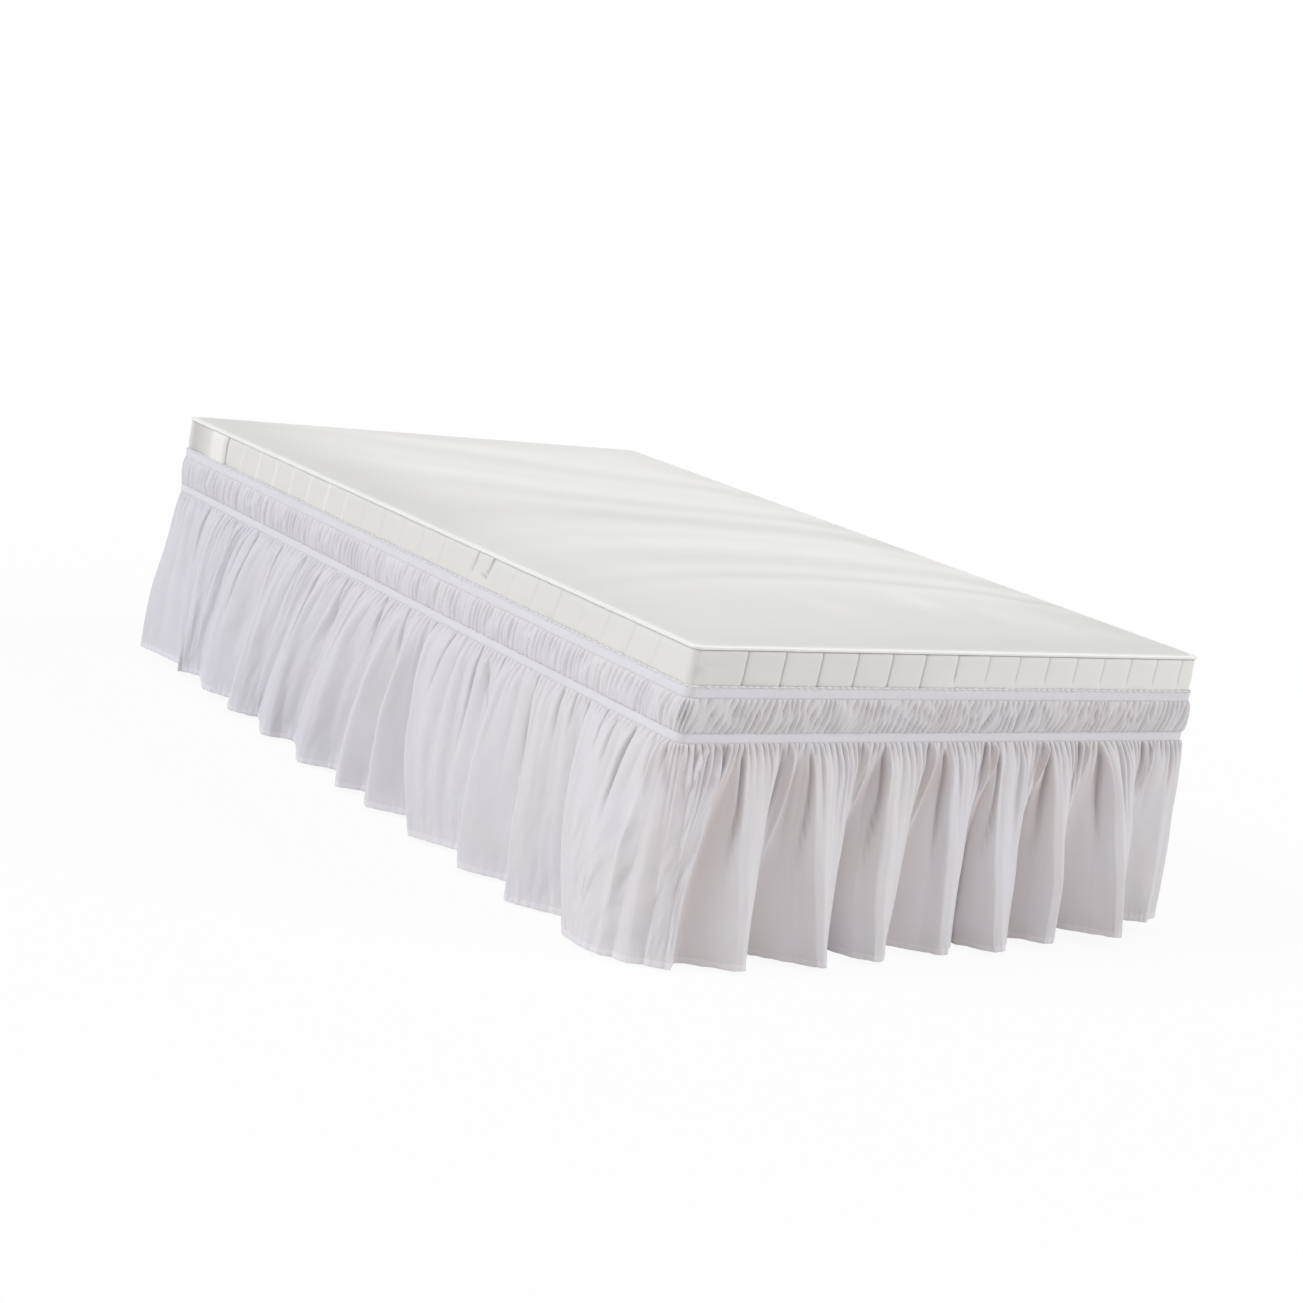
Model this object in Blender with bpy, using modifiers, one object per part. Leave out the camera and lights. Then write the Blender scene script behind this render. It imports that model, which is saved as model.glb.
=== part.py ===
"""A gathered bed skirt on a box spring bed.

The skirt is one length of thin cloth round the left side, the foot and the right side of the bed. Two
elastics, sewn over it, close round the head side. +Z is up, the foot of the bed faces -Y, and the
origin lies on the floor under the middle of the whole part. Lengths are in metres.
"""

import math

import bmesh
import bpy

# The bed
BED_WIDTH = 1.200
BED_LENGTH = 1.900
CORNER_RADIUS = 0.015
BED_SHIFT = 0.0485  # the skirt reaches out at the foot only, so the bed stands this far towards +Y
FLOOR_TO_BLOCK = 0.310
PIPING_HEIGHT = 0.5385
PIPING_RADIUS = 0.003
PIPING_INSET = 0.0025
TOUCH_GAP = 0.0003
ROLL_INSET = 0.022  # the top's padded edge, just inside the piping
ROLL_RISE = 0.0062
CROWN_INSET = 0.200  # the flat middle of the top
CROWN_RISE = 0.0125
BOTTOM_INSET = 0.005
BOTTOM_RISE = 0.007
BOARD_THICKNESS = 0.040
BOARD_INSET = 0.015
BOARD_EDGE = 0.004
LEG_SIDE = 0.050
LEG_EDGE = 0.003
LEG_PLACES = [(x, y) for y in (-0.80, 0.0, 0.80) for x in (-0.47, 0.47)]

# The upright tucks in the block's border
TUCK_DEPTH = 0.0028
TUCK_POINTS = 3  # stations to each puff of the border
SIDE_TUCKS = 24
FOOT_TUCKS = 16
FOOT_TUCK_FIRST = 0.105  # from the near end of the foot's straight part
FOOT_TUCK_PITCH = 0.083
FOOT_TUCK_CLOSING = 0.0009  # each tuck is this much closer than the last

# The skirt's cloth and its elastics
CLOTH = 0.0012
ELASTIC = 0.0012
CLOTH_REACH = 0.0011  # of the cloth's middle, out from the block, where an elastic holds it
ELASTIC_REACH = CLOTH_REACH + CLOTH / 2 + 0.0004 + ELASTIC / 2
HEAD_REACH = TOUCH_GAP + ELASTIC / 2  # of an elastic where no cloth lies under it
HEADING_TOP = 0.4755
UPPER_ELASTIC = (0.4540, 0.4720)  # its lower and its upper edge
LOWER_ELASTIC = (0.3770, 0.3950)
EDGE_CLOTH = 0.0005  # cloth held flat this far past an elastic's edge
STRIP_PUFF = 0.0055
HANG_CLEARANCE = 0.0030  # kept by the hanging cloth all along, over CLOTH_REACH
FALL_ROWS = (0.085, 0.32, 0.64, 1.0)  # of the fall from the lower elastic to the hem
FLARE_POWER = 0.75
FOOT_SHARPNESS = 1.5  # how late and steeply the foot's folds rise to their crests, high up
SIDE_SHARPNESS = 0.5
COLUMN_WIDTH = 0.0175
CORNER_COLUMN_WIDTH = 0.0042
ELASTIC_CORNER_STEPS = 12
PIPING_CORNER_STEPS = 8
BORDER_CORNER_STEPS = 6
FLANK_COLUMNS = (3, 7)  # fewest and most between a crest and a hollow

# Small folds between the large ones, which fade out towards the corners and the cloth's two ends
SMALL_FOLD_PITCH = 0.068
SMALL_FOLD_DRIFT = 0.41  # the pitch wanders over this length
SMALL_FOLD_WANDER = 1.3
SMALL_FOLD_DEPTH = 0.009
CALM_RUN = 0.060

# Height of the hem: (distance round the bed from the left head corner, height)
HEM_LINE = ((0.00, 0.0220), (0.60, 0.0065), (2.55, 0.0065), (3.06, 0.0260), (3.60, 0.0100), (4.92, 0.0080))

# The large folds of the left side, from the head to the foot, as distances from the head corner:
# (crest at the elastic, crest at the hem, crest's reach, hollow behind it at the hem, hollow's reach)
LEFT_FOLDS = (
    (0.165, 0.172, 0.043, 0.140, 0.012),
    (0.277, 0.287, 0.042, 0.255, 0.008),
    (0.433, 0.439, 0.050, 0.407, 0.014),
    (0.575, 0.595, 0.050, 0.560, 0.008),
    (0.757, 0.767, 0.060, 0.730, 0.008),
    (0.920, 0.940, 0.062, 0.907, 0.015),
    (1.070, 1.077, 0.066, 1.043, 0.022),
    (1.205, 1.235, 0.066, 1.193, 0.007),
    (1.430, 1.442, 0.079, 1.390, 0.012),
    (1.575, 1.583, 0.068, 1.547, 0.013),
    (1.743, 1.752, 0.062, 1.717, 0.015),
)
LEFT_END = (0.000, -0.004, 0.052)  # at the elastic, at the hem, reach
CORNER_PANEL = ((1.812, 1.807, 0.057), (1.872, 1.871, 0.045), (1.883, 1.882, 0.026), (1.906, 1.905, 0.030))

# The large folds of the foot, from left to right, as distances from the near corner:
# (crest at the elastic, crest at the hem, crest's reach, hollow past it at the hem, hollow's reach)
FOOT_FIRST_HOLLOW = (0.055, 0.060, 0.024)
FOOT_FOLDS = (
    (0.136, 0.149, 0.082, 0.177, 0.013),
    (0.358, 0.320, 0.094, 0.348, 0.012),
    (0.511, 0.451, 0.086, 0.482, 0.008),
    (0.655, 0.616, 0.077, 0.643, 0.026),
    (0.783, 0.753, 0.085, 0.782, 0.022),
    (0.905, 0.878, 0.077, 0.910, 0.008),
    (1.061, 1.042, 0.090, 1.075, 0.008),
)
FAR_CORNER_PANEL = ((-0.012, -0.010, 0.037), (0.012, 0.012, 0.024))  # from the start of the far corner

# The large folds of the right side follow a rule, each value with its wander: (amount, rate)
RIGHT_FOLDS = 12
RIGHT_FIRST = 0.075
RIGHT_PITCH = 0.154
RIGHT_PLACE_WANDER = (0.014, 2.1)
RIGHT_REACH = 0.064
RIGHT_REACH_WANDER = (0.013, 1.7)
RIGHT_HOLLOW = 0.013
RIGHT_HOLLOW_WANDER = (0.004, 2.3)
RIGHT_FLANK = 0.034
RIGHT_FLANK_WANDER = (0.006, 1.3)
RIGHT_LEAN_WANDER = (0.010, 2.9)
RIGHT_END = (0.000, 0.010, 0.050)  # past the end of the skirt's run: at the elastic, at the hem, reach

LEFT_RUN = BED_LENGTH - 2 * CORNER_RADIUS
FOOT_RUN = BED_WIDTH - 2 * CORNER_RADIUS
ARC_RUN = CORNER_RADIUS * math.pi / 2
FOOT_START = LEFT_RUN + ARC_RUN
FAR_CORNER_START = FOOT_START + FOOT_RUN
RIGHT_START = FAR_CORNER_START + ARC_RUN
SKIRT_END = RIGHT_START + LEFT_RUN
HEAD_START = SKIRT_END + ARC_RUN
LAST_CORNER_START = HEAD_START + FOOT_RUN


def smooth(t):
    """0 to 1 with level ends."""
    t = min(max(t, 0.0), 1.0)
    return t * t * (3 - 2 * t)


def mix(a, b, t):
    return a + (b - a) * t


def along(knots, s):
    """A value read from (place, value) knots, eased between them."""
    for (s0, v0), (s1, v1) in zip(knots, knots[1:]):
        if s <= s1:
            return mix(v0, v1, smooth((s - s0) / (s1 - s0)))
    return knots[-1][1]


def outline(s, reach):
    """The point (x, y) that lies reach outside the block's side, s along it from the left head corner."""
    half_x, half_y = FOOT_RUN / 2, LEFT_RUN / 2
    sides = (  # its length, the centre of the corner before it, its direction, the angle it faces
        (LEFT_RUN, (-half_x, half_y), (0, -1), math.pi),
        (FOOT_RUN, (-half_x, -half_y), (1, 0), 1.5 * math.pi),
        (LEFT_RUN, (half_x, -half_y), (0, 1), 2 * math.pi),
        (FOOT_RUN, (half_x, half_y), (-1, 0), 2.5 * math.pi),
    )
    number = 0
    while number < len(sides) - 1 and s > sides[number][0] + ARC_RUN:
        s -= sides[number][0] + ARC_RUN
        number += 1
    run, (x, y), (dx, dy), angle = sides[number]
    straight = min(s, run)
    turned = angle + (s - straight) / CORNER_RADIUS
    x += dx * straight + (CORNER_RADIUS + reach) * math.cos(turned)
    y += dy * straight + (CORNER_RADIUS + reach) * math.sin(turned)
    return x, y + BED_SHIFT


def corner_stations(steps):
    """Places round the whole loop that follow its four corners, with none along its straight sides."""
    starts = (LEFT_RUN, FAR_CORNER_START, SKIRT_END, LAST_CORNER_START)
    return [start + ARC_RUN * i / steps for start in starts for i in range(steps + 1)]


def new_object(name, mesh, collection, material):
    obj = bpy.data.objects.new(name, mesh)
    collection.objects.link(obj)
    obj.data.materials.append(material)
    return obj


def make_material(name, color, roughness):
    material = bpy.data.materials.new(name)
    material.use_nodes = True
    shader = material.node_tree.nodes["Principled BSDF"]
    shader.inputs["Base Color"].default_value = (*color, 1.0)
    shader.inputs["Roughness"].default_value = roughness
    shader.inputs["Metallic"].default_value = 0.0
    material.diffuse_color = (*color, 1.0)
    return material


def place_grid(name, columns, rows, point, collection, material, closed=False):
    """A grid primitive, its point (column, row) moved to point(column, row). Rows run downwards."""
    bm = bmesh.new()
    bmesh.ops.create_grid(bm, x_segments=columns - 1, y_segments=rows - 1, size=0.5)
    for vert in bm.verts:
        column = round((vert.co.x + 0.5) * (columns - 1))
        row = round((0.5 - vert.co.y) * (rows - 1))
        vert.co = point(column, row)
    if closed:
        bmesh.ops.remove_doubles(bm, verts=bm.verts, dist=1e-5)
    mesh = bpy.data.meshes.new(name)
    bm.to_mesh(mesh)
    bm.free()
    return new_object(name, mesh, collection, material)


def thicken(obj, thickness):
    """Gives an open surface its thickness, half to each side."""
    solidify = obj.modifiers.new("thickness", "SOLIDIFY")
    solidify.thickness = thickness
    solidify.offset = 0.0
    solidify.use_even_offset = False
    return obj


def wander(number, amount_and_rate):
    amount, rate = amount_and_rate
    return amount * math.sin(rate * number)


def fold_stations():
    """The skirt's crests and hollows in order, as (place at the elastic, place at the hem, reach)."""
    stations = [LEFT_END]
    for crest_top, crest, reach, hollow, hollow_reach in LEFT_FOLDS:
        stations.append((crest_top - (crest - hollow), hollow, hollow_reach))
        stations.append((crest_top, crest, reach))
    stations += CORNER_PANEL
    start = FOOT_START
    first_top, first, first_reach = FOOT_FIRST_HOLLOW
    stations.append((start + first_top, start + first, first_reach))
    for crest_top, crest, reach, hollow, hollow_reach in FOOT_FOLDS:
        stations.append((start + crest_top, start + crest, reach))
        stations.append((start + crest_top + (hollow - crest), start + hollow, hollow_reach))
    for top, hem, reach in FAR_CORNER_PANEL:
        stations.append((FAR_CORNER_START + top, FAR_CORNER_START + hem, reach))
    for number in range(RIGHT_FOLDS):
        crest = RIGHT_START + RIGHT_FIRST + RIGHT_PITCH * number + wander(number, RIGHT_PLACE_WANDER)
        reach = RIGHT_REACH + wander(number, RIGHT_REACH_WANDER)
        hollow = crest - RIGHT_FLANK - wander(number, RIGHT_FLANK_WANDER)
        hollow_reach = RIGHT_HOLLOW + wander(number, RIGHT_HOLLOW_WANDER)
        lean = wander(number, RIGHT_LEAN_WANDER)
        stations.append((hollow + lean, hollow, hollow_reach))
        stations.append((crest + lean, crest, reach))
    end_top, end_hem, end_reach = RIGHT_END
    stations.append((SKIRT_END + end_top, SKIRT_END + end_hem, end_reach))
    return stations


def in_corner(s):
    return LEFT_RUN < s < FOOT_START or FAR_CORNER_START < s < RIGHT_START


def skirt_columns():
    """One (place at the elastic, place at the hem, hollow's reach, crest's reach, rise) for each column.

    The rise is 0 in the hollow and 1 on the crest that the column lies between.
    """
    columns = []
    stations = fold_stations()
    fewest, most = FLANK_COLUMNS
    for here, there in zip(stations, stations[1:]):
        turning = in_corner(here[0]) or in_corner(there[0])
        width = CORNER_COLUMN_WIDTH if turning else COLUMN_WIDTH
        count = min(max(round((there[0] - here[0]) / width), fewest), most)
        hollow, crest = sorted((here[2], there[2]))
        last = 1 if there is stations[-1] else 0
        for i in range(count + last):
            t = i / count
            rise = t if there[2] >= here[2] else 1 - t
            columns.append((mix(here[0], there[0], t), mix(here[1], there[1], t), hollow, crest, rise))
    return columns


def small_fold(s):
    """0 to 1 across the small folds at a place s along the elastic."""
    drift = SMALL_FOLD_WANDER * math.sin(2 * math.pi * s / SMALL_FOLD_DRIFT)
    wave = 0.5 + 0.5 * math.sin(2 * math.pi * s / SMALL_FOLD_PITCH + drift)
    calm_places = (0.0, LEFT_RUN + ARC_RUN / 2, FAR_CORNER_START + ARC_RUN / 2, SKIRT_END)
    return wave * smooth(min(abs(s - place) for place in calm_places) / CALM_RUN)


def fall_point(column, fall):
    """A point of the hanging cloth, at the share fall of the way from the lower elastic to the hem."""
    top, hem, hollow, crest, rise = column
    s = mix(top, hem, smooth(fall))
    sharpness = FOOT_SHARPNESS if FOOT_START < top < FAR_CORNER_START else SIDE_SHARPNESS
    rise = mix(rise, smooth(rise), 0.5) ** (1 + sharpness * (1 - fall))
    reach = mix(hollow, crest, rise)
    flare = math.sin(math.pi / 2 * fall**FLARE_POWER)
    hang = HANG_CLEARANCE * smooth(fall / FALL_ROWS[0])
    small = SMALL_FOLD_DEPTH * math.sin(math.pi * fall**0.6) * small_fold(top)
    start = LOWER_ELASTIC[0] - EDGE_CLOTH
    x, y = outline_past_end(s, CLOTH_REACH + hang + reach * flare + small)
    return x, y, mix(start, along(HEM_LINE, s), fall)


def outline_past_end(s, reach):
    """outline, but straight on past the two ends of the skirt."""
    inside = min(max(s, 0.0), SKIRT_END)
    x, y = outline(inside, reach)
    side = 1 if inside < SKIRT_END / 2 else -1
    return x, y - side * (s - inside)


def make_skirt(collection, material):
    columns = skirt_columns()
    upper_low, upper_high = UPPER_ELASTIC
    lower_low, lower_high = LOWER_ELASTIC
    strip_bottom, strip_top = lower_high + EDGE_CLOTH, upper_low - EDGE_CLOTH
    held_rows = (
        (HEADING_TOP, 0.0),
        (strip_top, 0.0),
        (mix(strip_bottom, strip_top, 0.5), STRIP_PUFF),
        (strip_bottom, 0.0),
        (lower_low - EDGE_CLOTH, 0.0),
    )

    def point(column, row):
        if row >= len(held_rows):
            return fall_point(columns[column], FALL_ROWS[row - len(held_rows)])
        s = columns[column][0]
        z, puff = held_rows[row]
        x, y = outline(s, CLOTH_REACH + puff * (0.7 + 0.6 * small_fold(s)))
        return x, y, z

    rows = len(held_rows) + len(FALL_ROWS)
    return thicken(place_grid("skirt", len(columns), rows, point, collection, material), CLOTH)


def elastic_reach(s):
    """How far out an elastic's middle lies: over the cloth, or against the block on the head side."""
    leaving = smooth((s - SKIRT_END) / ARC_RUN)
    returning = smooth((s - LAST_CORNER_START) / ARC_RUN)
    return mix(ELASTIC_REACH, HEAD_REACH, leaving - returning)


def make_elastic(name, edges, collection, material):
    stations = corner_stations(ELASTIC_CORNER_STEPS)

    def point(column, row):
        s = stations[column % len(stations)]
        x, y = outline(s, elastic_reach(s))
        return x, y, edges[1 - row]

    obj = place_grid(name, len(stations) + 1, 2, point, collection, material, closed=True)
    return thicken(obj, ELASTIC)


def border_stations():
    """(place round the block, depth of the tuck there) for the block's border."""
    foot_tucks = [
        FOOT_TUCK_FIRST + FOOT_TUCK_PITCH * k - FOOT_TUCK_CLOSING * k * k for k in range(FOOT_TUCKS)
    ]
    side_tucks = [LEFT_RUN * (k + 0.5) / SIDE_TUCKS for k in range(SIDE_TUCKS)]
    stations = []
    sides = (
        (0.0, LEFT_RUN, side_tucks),
        (FOOT_START, FOOT_RUN, foot_tucks),
        (RIGHT_START, LEFT_RUN, side_tucks),
        (HEAD_START, FOOT_RUN, foot_tucks),
    )
    for start, run, tucks in sides:
        ends = [0.0, *tucks, run]
        for number, (here, there) in enumerate(zip(ends, ends[1:])):
            for i in range(TUCK_POINTS):
                depth = TUCK_DEPTH if i == 0 and number > 0 else 0.0
                stations.append((start + mix(here, there, i / TUCK_POINTS), depth))
        steps = BORDER_CORNER_STEPS
        stations += [(start + run + ARC_RUN * i / steps, 0.0) for i in range(steps)]
    return stations


def make_box_spring(collection, material):
    """The upholstered block, lofted through rings from its bottom to the flat middle of its top."""
    groove = PIPING_INSET + PIPING_RADIUS + TOUCH_GAP
    groove_floor = PIPING_HEIGHT - PIPING_RADIUS - TOUCH_GAP
    rings = (  # (inset, height, share of the tucks' depth)
        (BOTTOM_INSET, FLOOR_TO_BLOCK, 0.0),
        (0.0, FLOOR_TO_BLOCK + BOTTOM_RISE, 0.6),
        (0.0, (UPPER_ELASTIC[1] + groove_floor) / 2, 1.0),
        (0.0, groove_floor, 0.5),
        (groove, groove_floor, 0.0),
        (groove, PIPING_HEIGHT + PIPING_RADIUS, 0.0),
        (ROLL_INSET, PIPING_HEIGHT + ROLL_RISE, 0.0),
        (CROWN_INSET, PIPING_HEIGHT + CROWN_RISE, 0.0),
    )
    stations = border_stations()
    bm = bmesh.new()
    loops = []
    for inset, z, share in rings:
        loop = []
        for s, depth in stations:
            x, y = outline(s, -depth * share)
            x *= 1 - 2 * inset / BED_WIDTH
            y = BED_SHIFT + (y - BED_SHIFT) * (1 - 2 * inset / BED_LENGTH)
            loop.append(bm.verts.new((x, y, z)))
        loops.append(loop)
    for below, above in zip(loops, loops[1:]):
        for i, corner in enumerate(below):
            j = (i + 1) % len(below)
            bm.faces.new((corner, below[j], above[j], above[i]))
    bm.faces.new(reversed(loops[0]))
    bm.faces.new(loops[-1])
    mesh = bpy.data.meshes.new("box_spring")
    bm.to_mesh(mesh)
    bm.free()
    return new_object("box_spring", mesh, collection, material)


def make_piping(collection, material):
    curve = bpy.data.curves.new("top_piping", "CURVE")
    curve.dimensions = "3D"
    curve.bevel_depth = PIPING_RADIUS
    curve.bevel_resolution = 2
    stations = corner_stations(PIPING_CORNER_STEPS)
    spline = curve.splines.new("POLY")
    spline.points.add(len(stations) - 1)
    spline.use_cyclic_u = True
    for place, s in zip(spline.points, stations):
        place.co = (*outline(s, -PIPING_INSET), PIPING_HEIGHT, 1.0)
    return new_object("top_piping", curve, collection, material)


def make_block(name, size, centre, bevel, collection, material):
    """A plain board or leg with softened edges."""
    bpy.ops.mesh.primitive_cube_add(size=1.0)
    obj = bpy.context.object
    obj.name = name
    obj.data.name = name
    for vert in obj.data.vertices:
        vert.co = [coordinate * length for coordinate, length in zip(vert.co, size)]
    obj.location = centre
    for owner in list(obj.users_collection):
        owner.objects.unlink(obj)
    collection.objects.link(obj)
    obj.data.materials.append(material)
    softened = obj.modifiers.new("edges", "BEVEL")
    softened.width = bevel
    softened.segments = 2
    return obj


def make_base(collection, material):
    board_top = FLOOR_TO_BLOCK - TOUCH_GAP
    board_size = (BED_WIDTH - 2 * BOARD_INSET, BED_LENGTH - 2 * BOARD_INSET, BOARD_THICKNESS)
    board_centre = (0.0, BED_SHIFT, board_top - BOARD_THICKNESS / 2)
    make_block("bed_base", board_size, board_centre, BOARD_EDGE, collection, material)
    leg_height = board_top - BOARD_THICKNESS - TOUCH_GAP
    for number, (x, y) in enumerate(LEG_PLACES, start=1):
        size = (LEG_SIDE, LEG_SIDE, leg_height)
        centre = (x, y + BED_SHIFT, leg_height / 2)
        make_block(f"leg_{number}", size, centre, LEG_EDGE, collection, material)


def main():
    for obj in list(bpy.data.objects):
        bpy.data.objects.remove(obj, do_unlink=True)
    collection = bpy.data.collections.new("bed_skirt_on_box_spring_bed")
    bpy.context.scene.collection.children.link(collection)

    cloth = make_material("skirt cloth", (0.80, 0.79, 0.82), 0.85)
    elastic = make_material("elastic", (0.84, 0.83, 0.87), 0.70)
    cover = make_material("border cover", (0.76, 0.76, 0.73), 0.80)
    piping = make_material("piping", (0.90, 0.90, 0.87), 0.55)
    wood = make_material("pale wood", (0.62, 0.50, 0.36), 0.55)

    make_skirt(collection, cloth)
    make_elastic("elastic_upper", UPPER_ELASTIC, collection, elastic)
    make_elastic("elastic_lower", LOWER_ELASTIC, collection, elastic)
    make_box_spring(collection, cover)
    make_piping(collection, piping)
    make_base(collection, wood)


main()
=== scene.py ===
"""A gathered bed skirt on a box spring bed, dressed over its solid parts.

Laid out as a Blender add-on and run as a script. Lengths are in metres, +Z is up, and the foot of the
bed faces -Y. A place s runs round the block's side from its left head corner: down the left side,
along the foot, up the right side and back along the head. A fall runs from 0 at the lower elastic to 1
at the hem.
"""

import math

import bmesh
import bpy
import numpy as np
from mathutils import Matrix, Vector


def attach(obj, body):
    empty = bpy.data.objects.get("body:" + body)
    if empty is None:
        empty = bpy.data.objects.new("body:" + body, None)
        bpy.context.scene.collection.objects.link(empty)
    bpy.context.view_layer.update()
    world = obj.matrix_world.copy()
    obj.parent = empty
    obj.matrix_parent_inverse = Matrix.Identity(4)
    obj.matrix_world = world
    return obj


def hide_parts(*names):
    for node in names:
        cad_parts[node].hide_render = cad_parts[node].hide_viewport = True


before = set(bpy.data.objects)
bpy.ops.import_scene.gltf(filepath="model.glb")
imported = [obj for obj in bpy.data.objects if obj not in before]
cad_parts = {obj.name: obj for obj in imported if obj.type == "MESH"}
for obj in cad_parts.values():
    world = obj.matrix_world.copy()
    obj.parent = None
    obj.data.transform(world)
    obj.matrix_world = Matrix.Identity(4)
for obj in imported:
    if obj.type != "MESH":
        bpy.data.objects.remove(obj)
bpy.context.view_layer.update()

bl_info = {
    "name": "Bed skirt on a box spring bed",
    "version": (1, 0, 0),
    "blender": (4, 5, 0),
    "location": "3D View > Sidebar > Bed skirt",
    "description": "Builds a gathered bed skirt with two elastics and the bed that it fits round",
    "category": "Add Mesh",
}

# The bed's block
BED_WIDTH = 1.200
BED_LENGTH = 1.900
CORNER_RADIUS = 0.015
BED_SHIFT = 0.0485  # the skirt reaches out at the foot only, so the bed stands this far towards +Y
FLOOR_TO_BLOCK = 0.310
PIPING_HEIGHT = 0.5385
PIPING_RADIUS = 0.0038
PIPING_INSET = 0.0025
TOUCH_GAP = 0.0003

# The skirt's cloth and its elastics, the elastics as (lower edge, upper edge)
CLOTH_REACH = 0.0011
ELASTIC_REACH = 0.0027
ELASTIC_HEAD_REACH = 0.0009
HEADING_TOP = 0.4755
UPPER_ELASTIC = (0.4540, 0.4720)
LOWER_ELASTIC = (0.3770, 0.3950)
EDGE_CLOTH = 0.0005  # how far from an elastic its cloth starts to show
TUCKED_CLOTH = 0.0002  # how far under an elastic its cloth lies flat
JOIN_HEIGHT = sum(LOWER_ELASTIC) / 2  # where the meshes of the heading and the fall meet
FALL_START = LOWER_ELASTIC[0] - EDGE_CLOTH
# Height of the hem over the floor: (place, height)
HEM_LINE = (
    (0.00, 0.0220), (0.60, 0.0065), (1.30, 0.0060), (1.75, 0.0025), (1.90, 0.0025),
    (2.05, 0.0065), (2.55, 0.0065), (3.06, 0.0260), (3.60, 0.0100), (4.92, 0.0080),
)

# Places along a fold are given three times: at the elastic, half way down and at the hem.
# Folds of the left side: (crest, its reach, hollow before it, its reach)
LEFT_FOLDS = (
    ((0.161, 0.162, 0.183), 0.041, (0.126, 0.130, 0.152), 0.012),
    ((0.393, 0.324, 0.309), 0.041, (0.359, 0.262, 0.219), 0.004),
    ((0.506, 0.474, 0.449), 0.047, (0.474, 0.420, 0.369), 0.006),
    ((0.688, 0.631, 0.620), 0.055, (0.654, 0.560, 0.503), 0.004),
    ((0.862, 0.809, 0.801), 0.068, (0.830, 0.730, 0.662), 0.005),
    ((1.001, 0.962, 0.961), 0.068, (0.969, 0.898, 0.862), 0.012),
    ((1.057, 1.062, 1.083), 0.071, (1.033, 1.012, 1.001), 0.021),
    ((1.126, 1.162, 1.252), 0.073, (1.102, 1.104, 1.147), 0.009),
    ((1.387, 1.394, 1.429), 0.075, (1.350, 1.342, 1.346), 0.018),
    ((1.490, 1.546, 1.593), 0.077, (1.458, 1.492, 1.503), 0.017),
    ((1.650, 1.692, 1.759), 0.068, (1.619, 1.640, 1.681), 0.015),
)
LEFT_END = ((0.000, -0.006, -0.004), 0.040)
CORNER_PANEL = (
    ((1.797, 1.799, 1.818), 0.067),
    ((1.838, 1.844, 1.858), 0.050),
    ((1.860, 1.866, 1.874), 0.036),
    ((1.882, 1.884, 1.885), 0.022),
)
# From the near corner along the foot
FOOT_FIRST_CREST = ((0.092, 0.022, 0.007), 0.047)
FOOT_FIRST_HOLLOW = ((0.102, 0.046, 0.036), 0.015)
# Folds of the foot: (left edge of its ridge, its reach, right edge, crease before it, where its fan starts
# at the elastic, fall at which the fan has run into the right edge, reach of the hollow after it)
FOOT_FOLDS = (
    ((0.119, 0.098, 0.118), 0.082, (0.179, 0.168, 0.169), (0.113, 0.078, 0.091), 0.220, 0.60, 0.010),
    ((0.265, 0.251, 0.288), 0.094, (0.349, 0.339, 0.345), (0.259, 0.229, 0.258), 0.389, 0.46, 0.012),
    ((0.431, 0.400, 0.420), 0.086, (0.498, 0.485, 0.476), (0.424, 0.378, 0.392), 0.546, 0.52, 0.010),
    ((0.576, 0.564, 0.583), 0.077, (0.641, 0.634, 0.642), (0.568, 0.547, 0.559), 0.689, 0.28, 0.018),
    ((0.702, 0.676, 0.711), 0.085, (0.770, 0.762, 0.774), (0.695, 0.654, 0.680), 0.818, 0.36, 0.014),
    ((0.831, 0.831, 0.843), 0.077, (0.884, 0.883, 0.901), (0.823, 0.809, 0.820), 0.922, 0.36, 0.010),
    ((0.966, 0.982, 1.005), 0.090, (1.040, 1.050, 1.071), (0.959, 0.954, 0.976), 1.092, 0.38, 0.010),
)
RIDGE_FRONT = (0.014, 0.022, 0.019)  # from a ridge's left edge to its crest
RIDGE_BACK = -0.006  # from its right edge to where it ends
HOLLOW_PLACE = (0.006, 0.016, 0.022)  # of the hollow: from the fan's start, and then from the right edge
FAR_CORNER_PANEL = (((1.144, 1.145, 1.146), 0.037), ((1.170, 1.170, 1.170), 0.024))
# Folds of the right side follow rules, each with a wander from fold to fold: (middle, amount, rate)
RIGHT_FOLDS = 12
RIGHT_PITCH = 0.154
RIGHT_CREST = (0.095, 0.014, 2.1)
RIGHT_REACH = (0.064, 0.013, 1.7)
RIGHT_HOLLOW = (0.013, 0.004, 2.3)
RIGHT_FLANK = (0.034, 0.006, 1.3)
RIGHT_LEAN = (0.000, 0.010, 2.9)
RIGHT_END = ((0.000, 0.004, 0.010), 0.050)
# Share of its reach that shows high up the fall already, for each kind of crest and hollow
LEFT_END_EARLY = 0.45
CREST_EARLY = 1.05
RIGHT_CREST_EARLY = 1.1
HOLLOW_EARLY = 0.6
FIRST_CREST_EARLY = 1.3
FIRST_HOLLOW_EARLY = 0.4
FOOT_HOLLOW_EARLY = 0.8
# Across a fold of the foot: (share of its reach, share of that which shows high up)
RIDGE_CREASE = (0.66, 0.50)
RIDGE_LEFT_EDGE = (0.97, 0.95)
RIDGE_CREST = (1.0, 0.97)
RIDGE_RIGHT_EDGE = (0.60, 1.30)

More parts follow.
